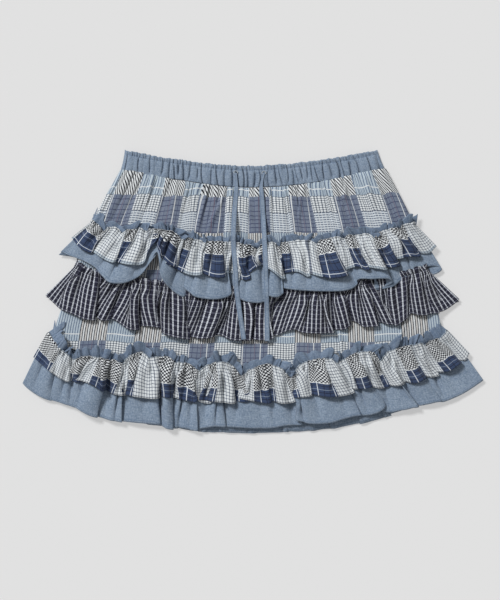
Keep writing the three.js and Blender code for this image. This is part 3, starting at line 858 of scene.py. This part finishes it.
HEM_HEM = [
    (-310.5, -122.9, 6.3), (-305.1, -128.9, 6.9), (-293, -137.7, 7.2), (-280.8, -143.8, 7.4),
    (-271.4, -147.2, 7.2), (-279.5, -144.5, 6), (-270, -146.2, 6.3), (-256.5, -150.5, 7.4),
    (-245.7, -153.9, 7.4), (-234.9, -156.6, 6.9), (-236.9, -155.2, 8.1), (-242.3, -153.5, 9.8),
    (-230.9, -160.7, 12.2), (-218.7, -166.7, 12.2), (-209.2, -169.2, 10.5), (-220.1, -165.4, 6.9),
    (-209.2, -167.8, 7.2), (-194.4, -172.3, 10.2), (-185, -174.2, 11), (-176.2, -175.2, 9.8),
    (-186.3, -172.8, 6.3), (-175.5, -174.4, 7.2), (-159.3, -175.9, 10.5), (-140.4, -177.5, 11.4),
    (-123.5, -178.2, 9.8), (-131, -176.9, 6.9), (-121.5, -180.6, 8.4), (-114.8, -184.3, 10.5),
    (-106.7, -185.4, 9.3), (-113.4, -182.2, 6.3), (-104, -182.5, 6.3), (-94.5, -183.3, 6.9),
    (-89.1, -184.3, 8.4), (-81.7, -186.3, 10.5), (-73.6, -187.4, 10.2), (-82.4, -185, 6.3),
    (-71.6, -184.4, 7.2), (-59.4, -182.2, 10.2), (-47.2, -181.3, 11.4), (-35.8, -182, 10.2),
    (-47.2, -180.2, 6.9), (-33.8, -181.7, 7.8), (-17.6, -182.7, 9.8), (4.1, -183.6, 10.2),
    (25.7, -183.3, 9.8), (44.6, -180.2, 8.4), (66.2, -178.2, 6.9), (63.5, -174.8, 9),
    (57.4, -172.5, 11.4), (68.9, -175.5, 12.5), (85.1, -177.4, 13.1), (104, -176.3, 13.1),
    (122.9, -171, 12.5), (136.4, -167.8, 11.9), (146.5, -166.1, 9.8), (137.7, -165.1, 6.9),
    (147.2, -165.8, 7.2), (156.6, -166.1, 8.4), (163.4, -164, 11), (171.5, -161.1, 12.5),
    (177.5, -156.6, 12.2), (179.1, -152.6, 10.2), (172.1, -157.3, 7.2), (179.6, -162, 7.8),
    (189, -162, 9.3), (198.5, -159.8, 9), (206.6, -158.2, 10.2), (216, -156.1, 11), (224.1, -154.3, 9.8),
    (214.7, -154.3, 6.9), (225.5, -153.2, 7.2), (237.6, -150.7, 9), (247.1, -148.5, 9.5),
    (255.2, -147.6, 8.6), (245.7, -147.2, 6.3), (256.5, -148.2, 6.9), (268.7, -143.8, 7.2),
    (283.5, -137, 6.6), (298.4, -127.6, 6), (307.8, -121.1, 5.8), (310.5, -118.8, 5.8),
]
for title, marks in (("hip", HIP_HEM), ("check", CHECK_HEM), ("hem", HEM_HEM)):
    print(title, "hem is", round(length_along(through(marks, 1.0))[-1]), "mm of cloth")

# %% [markdown]
# ## Gathering a strip
# The columns of a strip are spaced evenly along its hem, so the weave keeps its real size. Each
# column climbs to its own place on the gathering line, either listed or found from the hem's X with
# the folds evened out. Heights rise quickly from the seam and level off at the hem, as pressed
# cloth does. How high the gathers stand follows from how much cloth they have to use up.

# %% Helpers that gather a strip
# in millimetres, apart from LOOK_AHEAD, which counts columns
COLUMN_STEP = 1.24
LOOK_AHEAD = 110
BUNCH = 6.0
FRILL_WIDTH = 13.5
TINY_WIDTH = 6.0
RESTING_Z = 5.8


def columns_at(line, marks):
    """The columns of a line nearest to some marks, in order, so that hidden layers don't confuse it."""
    found = [0]
    for mark in marks:
        ahead = line[found[-1] : found[-1] + LOOK_AHEAD, :2]
        found.append(found[-1] + int(np.argmin(np.linalg.norm(ahead - mark, axis=1))))
    return found[1:]


class Ruffle:
    """One side of a ruffle. hem and seam are marked lines, and seam_z is the gathering line's height.
    close and broad are the widths of the gathers at the line and of the folds below it."""

    def __init__(
        self, hem, seam, seam_z, drop, heading, seed, front=True, step=COLUMN_STEP, close=12.0,
        broad=27.0, pulls=(), notches=(),
    ):
        self.seam_z, self.drop, self.heading, self.seed = seam_z, drop, heading, seed
        self.front, self.step, self.close, self.broad = front, step, close, broad
        self.edge = through(hem, step)
        self.u = length_along(self.edge)
        self.cut = self.u[-1]
        self.from_end = np.minimum(self.u, self.cut - self.u)
        line = through(seam, 1.0)
        seam_long = length_along(line)[-1]
        along = length_along(line) / seam_long
        # how far along the gathering line each column is sewn
        if pulls:
            knots = columns_at(self.edge, [pull[:2] for pull in pulls])
            at_seam = np.interp([pull[2] for pull in pulls], line[:, 0], along)
            share = np.interp(self.u, [0, *self.u[knots], self.cut], [0, *at_seam, 1])
            share = evened(share, 12 / step)
        else:
            even = np.maximum.accumulate(evened(self.edge[:, 0], 70 / step))
            even = (even - even[0]) / (even[-1] - even[0])
            share = 0.8 * even + 0.2 * self.u / self.cut
            share = (share - share[0]) / (share[-1] - share[0])
            inside = np.clip(self.from_end / 40, 0, 1)
            share = share + BUNCH * wander(self.u, 46, seed + 7) * inside / seam_long

        # the line with its notches, and the directions along it and up from it
        for x, wide, deep in notches:
            line[:, 1] -= deep * np.clip(1 - np.abs(line[:, 0] - x) / wide, 0, 1) ** 1.2
        self.seam = points_on(line, share, along)
        run = np.column_stack([evened(np.gradient(self.seam[:, k]), 25) for k in (0, 1)])
        self.run = unit(run)
        self.up = np.column_stack([-self.run[:, 1], self.run[:, 0]])

        # gathers die away at the ends, where the heading stands up, and it flops over at the notches
        self.side = np.clip(self.from_end / 9, 0, 1) ** 0.5
        self.stand = fading(self.u, 22) + 0.7 * fading(self.cut - self.u, 18)
        self.flop = np.zeros(len(self.u))
        for x, wide, _ in notches:
            self.flop = np.maximum(self.flop, 1 - np.abs(self.seam[:, 0] - x) / wide)

    def surface(self, v, fine=1.0, medium=0.9, frill=1.9, hem_relief=0.35):
        """Points at shares of the drop: 0 on the gathering line, 1 on the hem, -1 at the heading's edge.

        fine, medium and frill scale the gathers at the line, the folds below it and the heading.
        hem_relief is how much of the folds is left at the hem, where the marked heights take over."""
        v = v[:, None]
        fall, above = np.clip(v, 0, 1), np.clip(-v, 0, 1)
        u, seed = self.u, self.seed
        xy = self.seam * (1 - fall[..., None]) + self.edge[:, :2] * fall[..., None]
        flat = self.flat_share(xy)
        spare = (1 - flat) * self.side
        drawn_up = 2 * flat / np.pi * np.sqrt(1 / flat - 1)

        # four sizes of gathers, and how high each stands at each point
        close, close_lean, close_sway = crimp(u, self.close, seed, 0.6, 0.7)
        folds, folds_lean, folds_sway = crimp(u, self.broad, seed + 1, 0.9, 0.5)
        frills, frills_lean, frills_sway = crimp(u, FRILL_WIDTH, seed + 5, 0.55, 0.8)
        tiny, tiny_lean, _ = crimp(u, TINY_WIDTH, seed + 9, 0.6)
        near = fading(fall, 0.36, 1.6) * fading(above, 0.8)
        middle = ease(fall, 0.04, 0.34) * (1 - (1 - hem_relief) * ease(fall, 0.55, 1.0)) * self.side
        fine_high = fine * near * self.close * drawn_up * self.side
        fold_high = medium * middle * self.broad * drawn_up
        frill_high = 1.15 * frill * FRILL_WIDTH * drawn_up * above**0.6 * self.side
        tiny_high = (4.4 + 3.5 * above) * fine * drawn_up * fading(fall, 0.22, 1.5) * self.side

        # they lean and sway along the line
        sideways = wander(u, 6, seed + 3)[None] * fading(fall, 0.3) + tiny_high * tiny_lean
        sideways = sideways + 0.4 * fine_high * close_lean + 0.7 * fold_high * folds_lean
        sideways = sideways + 0.8 * frill_high * (1.5 * frills_lean + 0.6 * wander(u, 9, seed + 4))
        sideways = sideways + spare * (0.8 * near * close_sway + 0.9 * middle * folds_sway)
        sideways = sideways + spare * above**0.7 * 1.1 * frills_sway
        sideways = sideways * np.clip(self.from_end / 26, 0, 1)
        xy = xy + sideways[..., None] * self.run

        # the heading stands up from the line, less where it has flopped over
        uneven = wander(u, 17, seed + 2)[None]
        tall = self.heading * above * (0.6 + 0.5 * frills) * (1 + 0.12 * uneven)
        tall = tall * (1 - 0.35 * self.flop) * (1 + 0.7 * self.stand)
        tall = tall - 0.25 * fold_high * (folds - 0.5)
        xy = xy + tall[..., None] * self.up

        # the height, which settles towards the body at the two ends
        height = (self.edge[:, 2] - self.seam_z) * np.sin(fall * np.pi / 2) ** 0.8
        lift = fine_high * close + fold_high * (folds - 0.45) + frill_high * frills + tiny_high * tiny
        lift = lift + above * (4.5 * self.flop + 2.4 * wander(u, 21, seed + 6)) * self.side
        z = self.seam_z + height + lift + 0.5 * self.side * uneven * fall
        z = z - 0.85 * fading(self.from_end, 22) * np.maximum(z - RESTING_Z, 0)
        return np.dstack([xy[..., 0], xy[..., 1], z])

    def flat_share(self, xy):
        """How wide the strip lies at each point, as a share of its cloth."""
        wide = np.linalg.norm(np.gradient(xy, axis=1), axis=2)
        wide = np.array([evened(row, 60 / self.step) for row in wide]) / np.gradient(self.u)
        return np.clip(wide, 0.3, 0.99)

# %% [markdown]
# ## Sewing a strip
# All strips are made alike, in rows from the heading's edge to the hem. The rows are closest together
# at the gathering line, where the cloth bends most. The weave is measured from that line, because a
# maker lines a plaid up there before drawing in the threads.

# %% Helpers that sew a strip
def shares(rows):
    """Rows from the heading's edge at -1 to the hem at 1, closest together at the gathering line."""
    heading = np.linspace(-1, 0, max(3, rows // 4), endpoint=False)
    return np.r_[heading, np.linspace(0, 1, rows) ** 1.25]


def sew_strip(name, ruffle, v, points, material, weave_start=0.0, across=None, hem_share=1.0):
    """Makes a strip, with its weave measured from the gathering line."""
    down = np.where(v < 0, v * ruffle.heading, v * ruffle.drop)[:, None] + 0 * ruffle.u
    across = (ruffle.u if across is None else across)[None] + 0 * down
    cloth = np.dstack([across, down + weave_start])
    sewing = np.dstack([hem_share * ruffle.drop - down, down])
    piece = cut_cloth(name, points, cloth, sewing, material, flip=not ruffle.front)
    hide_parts(name)

# %% [markdown]
# ## Cloth on cloth
# A real strip can't sink into the cloth below it. Rays cast straight down find that cloth, and each
# strip is kept above it or laid on it. A cloth simulation would settle the layers too, but it would
# also move the folds away from their marks.

# %% Helpers that lay cloth on cloth
LAYER_GAP = 1.15
CLEARANCE = 0.7
RAY_FROM = 0.2


def cloth_trees(names):
    depsgraph = bpy.context.evaluated_depsgraph_get()
    return [BVHTree.FromObject(made[name], depsgraph) for name in names]


def cloth_height(trees, x, y):
    """The height in millimetres of the highest cloth under a point."""
    top = 0.0
    for tree in trees:
        place = tree.ray_cast(Vector((x * MM, y * MM, RAY_FROM)), Vector((0, 0, -1)))[0]
        if place:
            top = max(top, place.z / MM)
    return top


def ground_under(points, trees):
    """The height of the cloth under each point of a grid."""
    return np.array([[cloth_height(trees, x, y) for x, y, _ in row] for row in points])


def keep_above(points, trees):
    """Lifts the points of a strip that would sink into the cloth under it."""
    floor = ground_under(points, trees) + CLEARANCE
    print("lifted", int((points[..., 2] < floor).sum()), "of", floor.size, "points off the cloth below")
    points[..., 2] = np.maximum(points[..., 2], floor)
    return points


def lie_on(points, bed):
    """Raises a strip's heights by those of the grid of points under it."""
    tree = BVHTree.FromPolygons((bed.reshape(-1, 3) * MM).tolist(), grid_faces(bed).tolist())
    ground = ground_under(points, [tree])
    ground[ground < 2] = np.nan
    columns = ground.shape[1]
    for number in reversed(range(len(ground))):
        known = np.flatnonzero(~np.isnan(ground[number]))
        if len(known) < 0.3 * columns:
            ground[number] = ground[number + 1]
        else:
            ground[number] = np.interp(np.arange(columns), known, ground[number][known])
    raised = np.maximum(np.array([evened(row, 5) for row in ground]), ground - 0.3)
    points[..., 2] += raised + LAYER_GAP
    return points

# %% [markdown]
# ## The folds of the plaid strips
# A narrow plaid strip lies over the chambray of the hip and hem ruffles, with folds of its own. Each
# row of a table is one fold: the X and Y of its lowest point and of its right edge, its height above
# the chambray, how far it doubles back under itself, and the plaid column at its middle. A table of
# folds is easier to read and to correct than a long line of points.

# %% Mark the folds of the plaid strips
UNDER_FOLD = 0.4
HIP_PLAID = [
    (-230.9, 58.1, -214.7, 52.7, 5, 5, 0.5), (-198.5, 43.2, -183.6, 39.2, 6, 14, 1.5),
    (-166.1, 36.5, -147.2, 37.8, 6, 0, 3.35), (-140.4, 56.7, -133.7, 72.9, 5, 0, 4.3),
    (-125.6, 54, -118.8, 44.6, 2, 5, 4.6), (-109.4, 35.1, -98.6, 33.8, 4, 19, 4.9),
    (-85.1, 23, -67.5, 22.3, 6, 5, 5.3), (-54, 19.6, -36.5, 18.9, 6, 5, 6.5),
    (-28.4, 25.7, -17.6, 14.9, 2, 5, 7.6), (-9.5, 15.5, -2.7, 16.2, 2, 5, 8.5),
    (4.1, 32.4, 12.2, 35.1, 3, 5, 9), (27, 27, 43.2, 16.9, 8, 9, 9.5),
    (59.4, 27, 77, 20.2, 4, 5, 11.25), (104, 18.2, 128.2, 20.9, 7, 9, 12.45),
    (140.4, 33.8, 156.6, 28.4, 5, 10, 14.3), (167.4, 31.1, 180.9, 29, 6, 5, 15.8),
    (186.3, 32.4, 198.5, 33.8, 5, 19, 16.5), (210.6, 47.2, 225.5, 47.2, 7, 5, 18.5),
    (236.3, 52, 247.1, 61.6, 2.2, 0, 19.5),
]
HEM_PLAID = [
    (-272.7, -106.7, -245.7, -120.8, 7, 5, 1.05), (-237.6, -121.5, -228.2, -121.5, 2, 18, 2.5),
    (-214.7, -124.2, -197.8, -133.7, 8, 5, 4.2), (-187.7, -137, -170.1, -139.1, 4, 19, 7.05),
    (-151.2, -141.8, -125.6, -143.1, 8, 5, 9.4), (-116.1, -141.8, -104, -141.8, 3, 19, 10.5),
    (-90.5, -145.8, -74.2, -147.8, 5, 5, 12.4), (-67.5, -149.2, -55.4, -149.9, 3, 19, 13.5),
    (-40.5, -148.5, -23, -149.9, 9, 5, 15.5), (-14.9, -147.8, -4.1, -147.2, 2, 19, 16.6),
    (10.8, -148.5, 25.7, -149.9, 6, 5, 18.5), (40.5, -149.9, 56.7, -148.5, 8, 15, 19.5),
    (68.9, -141.1, 79.7, -140.4, 3, 10, 21.4), (104, -141.1, 136.4, -136.4, 8, 5, 23),
    (147.2, -130.3, 160.7, -128.2, 6, 15, 24.5), (171.5, -129.6, 183.6, -128.2, 3, 12, 26.2),
    (193.1, -126.2, 205.2, -124.2, 5, 5, 27.6), (217.4, -122.9, 233.6, -117.5, 5, 5, 28.5),
    (240.3, -114.8, 251.1, -113.4, 4, 5, 29.6), (263.2, -106.7, 280.8, -97.2, 8, 5, 30.6),
    (286.2, -91.8, 291.6, -82.4, 1.6, 0, 31.8),
]


def folded(start, folds):
    """Marks a hem from a table of folds."""
    marks = [(*start, UNDER_FOLD)]
    for middle_x, middle_y, edge_x, edge_y, crest, under, _ in folds:
        marks.append((middle_x, middle_y, crest))
        if under:
            marks.append((edge_x - 3, edge_y, crest))
            marks.append((edge_x, edge_y + 2, crest * 0.6))
            marks.append((edge_x - under * 0.5, edge_y + 3.5, UNDER_FOLD + 0.5))
            marks.append((edge_x - under, edge_y + 5, UNDER_FOLD))
        else:
            marks.append((edge_x, edge_y, crest * 0.8))
    return marks


def plaid_place(strip, folds):
    """Where each column of a strip lies on the plaid. The visible part of each fold keeps the weave's
    true scale, and the hidden part under the fold takes up the difference."""
    knots, places = [0.0], [0.0]
    for middle_x, middle_y, edge_x, _, _, _, column in folds:
        off = np.hypot(strip.edge[:, 0] - middle_x, strip.edge[:, 1] - middle_y)
        middle = strip.u[np.argmin(off)]
        half = max(edge_x - middle_x, 4)
        expected = places[-1] + middle - knots[-1]
        place = column * WARP_A
        place += WARP_REPEAT * round((expected - place) / WARP_REPEAT)
        knots += [max(middle - half, knots[-1] + 1), middle + half]
        places += [place - half, place + half]
    places[0] = places[1] - knots[1]
    return np.interp(strip.u, [*knots, strip.cut], [*places, places[-1] + strip.cut - knots[-1]])


print(len(HIP_PLAID), "folds on the hip strip and", len(HEM_PLAID), "on the hem strip")

# %% [markdown]
# ## The front ruffles
# The hip and hem ruffles are double. A plain chambray strip and the narrower plaid strip lie together
# and are gathered on one line. The chambray stands up above the line as a frilled heading, and it
# shows again below the plaid. The ruffle between them is one strip of dark check, whose stripes show
# where each column climbs to, so that is listed one by one. The lines dip in small notches where the
# thread pulls harder.

# %% Sew the front ruffles
DROP = {"hip": 69, "check": 58, "hem": 84}
PLAID_START = {"hip": -15.0, "hem": -30.0}
PLAID_ROWS = 28

# each notch is an X on the gathering line, its width and its depth
HIP_NOTCHES = [
    (-201, 8, 9), (-176, 8, 8), (-143, 6, 4), (-96, 7, 7), (-66, 6, 4), (5, 8, 7), (34, 7, 7),
    (84, 7, 6), (120, 7, 4), (163, 9, 8), (196, 7, 4),
]
# each pull is an X and Y on the hem, and the X on the gathering line that it climbs to
CHECK_PULLS = [
    (-270, -14, -238), (-243, -30, -230), (-225, -38, -216), (-207, -36, -177), (-181, -41, -162),
    (-161, -51, -154), (-144, -46, -146), (-134, -47, -139), (-126, -49, -131), (-109, -60, -111),
    (-96, -63, -96), (-81, -61, -61), (-62, -62, -45), (-43, -58, -29), (-22, -66, -18),
    (-11, -65, -11), (4, -65, 9), (15, -65, 16), (32, -59, 52), (42, -54, 61),
    (55, -51, 70), (80, -55, 84), (97, -55, 93), (124, -50, 112), (140, -40, 134),
    (158, -47, 143), (180, -43, 155), (196, -45, 188), (201, -40, 198), (213, -29, 211),
    (232, -31, 221), (243, -29, 228), (269, -18, 239),
]
HEM_NOTCHES = [
    (-242, 12, 5), (-176, 10, 6), (-140, 9, 5), (-74, 12, 10), (-17, 12, 8), (51, 13, 10), (171, 11, 9),
    (-106, 8, 5), (112, 8, 4), (232, 8, 4),
]


def plaid_strip(title, start, folds, seam, notches, drop, seed, bed):
    """The narrow front strip, with its own folds, lying on the wide one."""
    name = f"{title}_ruffle_overlay_front"
    left, right, first, last = seam[0][0], seam[-1][0], start[0], folds[-1][2]
    pulls = []
    for middle_x, middle_y, edge_x, edge_y, *_ in folds:
        above = left + (middle_x - first) * (right - left) / (last - first)
        pulls.append((middle_x, middle_y, above))
        pulls.append((edge_x - 3, edge_y, above + 0.45 * (edge_x - 3 - middle_x)))
    strip = Ruffle(
        folded(start, folds), seam, 0.0, drop, 10, seed, close=10.5, broad=23.0, pulls=pulls[:-1],
        notches=notches,
    )
    v = np.r_[np.linspace(-0.25, 0, 4, endpoint=False), np.linspace(0, 1, PLAID_ROWS) ** 1.15]
    points = strip.surface(v, fine=1.35, medium=1.15, frill=0.4, hem_relief=0.15)
    points[..., 2] = np.maximum(points[..., 2], 0)
    across = plaid_place(strip, folds)
    print(title, "uses", round(across[-1] - across[0]), "mm of plaid on", round(strip.cut), "mm")
    sew_strip(name, strip, v, lie_on(points, bed), patchwork_ruffle, PLAID_START[title], across)


def front_ruffle(title, material, hem, seam, seam_z, heading, seed, rows, look, **marks):
    """The wide front strip. Gives its points from the gathering line down."""
    ruffle = Ruffle(hem, seam, seam_z, DROP[title], heading, seed, **marks)
    v = shares(rows)
    points = keep_above(ruffle.surface(v, **look), body_tree)
    sew_strip(f"{title}_ruffle_front", ruffle, v, points, material)
    return points[v >= 0]


body_tree = cloth_trees(["body_front"])
bed = front_ruffle(
    "hip", chambray, HIP_HEM, HIP_SEAM, seam_z=9.6, heading=11, seed=31, rows=34,
    look={"medium": 0.85, "hem_relief": 0.45}, notches=HIP_NOTCHES,
)
plaid_strip("hip", (-244.4, 72.9), HIP_PLAID, HIP_SEAM, HIP_NOTCHES, drop=46, seed=35, bed=bed)
front_ruffle(
    "check", gingham, CHECK_HEM, CHECK_SEAM, seam_z=9.4, heading=8, seed=41, rows=32,
    look={"fine": 1.45, "medium": 1.3, "frill": 0.7, "hem_relief": 0.5}, pulls=CHECK_PULLS,
)
bed = front_ruffle(
    "hem", chambray, HEM_HEM, HEM_SEAM, seam_z=9.4, heading=14, seed=51, rows=36,
    look={"fine": 1.1, "medium": 1.2}, notches=HEM_NOTCHES,
)
plaid_strip("hem", (-295.7, -87.8), HEM_PLAID, HEM_SEAM, HEM_NOTCHES, drop=48, seed=55, bed=bed)

# %% [markdown]
# ## The back ruffles
# The back has the same ruffles. The skirt lies on them, so their folds are pressed nearly flat, like
# knife pleats. They are made with the same helper from a hem that a rule writes: pleats of uneven
# width that double back a little, kept within the few millimetres under the body.

# %% Press the back ruffles
def pressed_hem(line, pleat, seed):
    """Marks a hem of flat pleats along a line given by its two ends and five stations of Y."""
    left, right, y = line
    rng = np.random.default_rng(seed)
    marks = [(left, y[0], 6.4)]
    x = left + pleat * 0.5
    while x < right - pleat:
        wide = pleat * rng.uniform(0.7, 1.3)
        back = wide * rng.uniform(0.16, 0.3)
        for dx, z in ((0, 3.6), (0.55 * wide, 2.2), (wide, 2.3), (wide - back, 4.0)):
            s = (x + dx - left) / (right - left)
            marks.append((x + dx, float(stations(y, min(s, 1))) + rng.uniform(-1.2, 1.2), z))
        x += wide - back * 0.4
    marks.append((right, y[-1], 6.4))
    return marks


# the two ends of each hem and the Y of five stations; the seams are those of the body panels
BACK_HEMS = {
    "hip": (-262, 254, [50, 11, -11, 1.5, 31]),
    "check": (-279.5, 278, [-7, -50, -64, -54, -13.5]),
    "hem": (-310.5, 310.5, [-123, -175, -190, -175, -119]),
}
OVERLAY_SHARE = {"hip": 0.62, "hem": 0.57}
OVERLAY_GAP = 1.2
PRESSED = {"fine": 1.3, "medium": 1.1, "frill": 0.3, "hem_relief": 0.5}
BACK_HIGHEST = 5.2


def back_seam(number):
    """The gathering line of a back ruffle, marked along a row of the body panel's stations."""
    left, right = BODY_LEFT[number], BODY_RIGHT[number]
    places = np.linspace(0, 1, 17)
    return [(left + (right - left) * s, float(stations(BODY_Y[number], s))) for s in places]


def pressed(ruffle, v, lowest):
    """The surface of a back ruffle, squeezed between two heights."""
    points = ruffle.surface(v, **PRESSED)
    points[..., 2] = np.clip(points[..., 2], lowest, BACK_HIGHEST)
    return points


# title, material, heading, width of the pleats, seed and lowest height
BACK_ROWS = (
    ("hip", chambray, 10, 42, 81, 1.75),
    ("check", gingham, 8, 36, 82, 0.6),
    ("hem", chambray, 13, 40, 83, 1.75),
)
for number, (title, material, heading, pleat, seed, lowest) in enumerate(BACK_ROWS, 1):
    ruffle = Ruffle(
        pressed_hem(BACK_HEMS[title], pleat, seed), back_seam(number), 4.4, DROP[title], heading, seed,
        front=False, step=1.8, close=8.0, broad=14.0,
    )
    v = shares(13)
    sew_strip(f"{title}_ruffle_back", ruffle, v, pressed(ruffle, v, lowest), material)
    if title in OVERLAY_SHARE:
        share = OVERLAY_SHARE[title]
        v = np.r_[-0.2, -0.1, np.linspace(0, 1, 8) ** 1.2 * share]
        points = pressed(ruffle, v, lowest)
        points[..., 2] -= OVERLAY_GAP
        name = f"{title}_ruffle_overlay_back"
        sew_strip(name, ruffle, v, points, patchwork_ruffle, PLAID_START[title], hem_share=share)

# %% [markdown]
# ## Laying the drawstring
# A limp tape takes the shape of what it crosses. A ray is cast straight down at each step of its
# route, across its width, and the tape lies on the highest cloth that the rays meet. Between two
# folds it spans the gap in a shallow curve. A cloth simulation would find the same rest at a much
# greater cost.

# %% Drape the drawstring ends
TAPE_STEPS = 150
TAPE_FALL = 0.45
UNSTITCHED = 40

# the tape's section, as shares of its width and thickness
TAPE_RIM = np.array([
    (-0.5, 0.0), (-0.47, 0.32), (-0.4, 0.46), (-0.2, 0.5), (0, 0.46), (0.2, 0.5), (0.4, 0.46),
    (0.47, 0.32), (0.5, 0.0), (0.47, -0.4), (0.3, -0.5), (0, -0.5), (-0.3, -0.5), (-0.47, -0.4),
    (-0.5, 0.0),
])


def tape_line(route, trees):
    """The middle of the tape, resting on the highest cloth across its width."""
    plan = through([(x, y, 0) for x, y in route], 1.5)
    line = points_on(plan, np.linspace(0, 1, TAPE_STEPS))
    rest = np.array([
        max(cloth_height(trees, x + dx, y) for dx in (-3, -1, 1, 3)) for x, y in line
    ])
    for i in range(1, TAPE_STEPS):
        rest[i] = max(rest[i], rest[i - 1] - TAPE_FALL)
    for i in range(TAPE_STEPS - 2, -1, -1):
        rest[i] = max(rest[i], rest[i + 1] - TAPE_FALL)
    z = np.maximum(evened(rest, 9), rest - 0.6) + TAPE_THICK / 2 + 0.25
    return np.column_stack([line, z])


def make_tape(name, route, trees, seed):
    """A flat tube along the route, closed at both ends with lids that shrink to a point."""
    line = tape_line(route, trees)
    run = unit(np.gradient(line, axis=0))
    across = unit(np.column_stack([-run[:, 1], run[:, 0], 0 * run[:, 0]]))
    up = np.cross(run, across)
    up *= np.sign(up[:, 2:3])
    s = np.linspace(0, 1, TAPE_STEPS)
    wide = TAPE_WIDTH * (1 + 0.04 * wander(s * 220, 16, seed)) * (0.5 + 0.5 * ease(s, 0.0, 0.16))
    roll = 0.1 * wander(s * 220, 34, seed + 1)
    rings = []
    for a, b in TAPE_RIM:
        height = b * TAPE_THICK + a * wide * roll
        rings.append(line + across * (a * wide)[:, None] + up * height[:, None])
    points = np.array(rings).transpose(1, 0, 2)
    around = length_along(TAPE_RIM * (TAPE_WIDTH, TAPE_THICK))[None]
    along = length_along(line)[:, None]
    cloth = np.dstack([around + 0 * along, along + 0 * around])
    edge = 3.2 - np.abs(TAPE_RIM[:, 0]) * TAPE_WIDTH
    from_edge = np.where(TAPE_RIM[:, 1] > 0.1, edge, 9) + 2.2
    sewing = np.dstack([from_edge + 0 * along, UNSTITCHED + 0 * cloth[..., 0]])
    for share in (0.98, 0.85, 0.6, 0.3, 0.0):
        first = points[0] * share + line[0] * (1 - share)
        last = points[-1] * share + line[-1] * (1 - share)
        points = np.concatenate([first[None], points, last[None]])
        cloth = np.concatenate([cloth[:1], cloth, cloth[-1:]])
        sewing = np.concatenate([sewing[:1], sewing, sewing[-1:]])
    piece = cut_cloth(name, points, cloth, sewing, tape_cloth, thick=0)
    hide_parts(name)


def make_eyelet(name, x, y, trees):
    """A small worked ring round the hole that a tape comes out of."""
    turn = np.linspace(0, 2 * np.pi, 41)[:, None]
    round_thread = np.linspace(0, 2 * np.pi, 11)[None]
    thread = 0.65 * (1 + 0.16 * np.cos(9 * turn))
    reach = 2.5 + thread * np.cos(round_thread)
    base = max(cloth_height(trees, x + dx, y) for dx in (-2.5, 0, 2.5))
    points = np.dstack([
        x + reach * np.cos(turn), y + 0.8 * reach * np.sin(turn),
        base + 0.3 + thread * np.sin(round_thread) + 0 * turn,
    ])
    uv = np.dstack([turn * 2.5 + 0 * reach, round_thread + 0 * turn])
    cut_cloth(name, points, uv, uv * 0 + UNSTITCHED, thread_cloth, thick=0)


front_cloth = cloth_trees([name for name in made if name.endswith("_front")])
for side, (x, y) in (("left", (-23.2, 161)), ("right", (14.8, 160.5))):
    make_eyelet(f"eyelet_{side}", x, y, front_cloth)
for number, (name, route) in enumerate(DRAWSTRINGS.items()):
    make_tape(name, route, front_cloth, 91 + 5 * number)
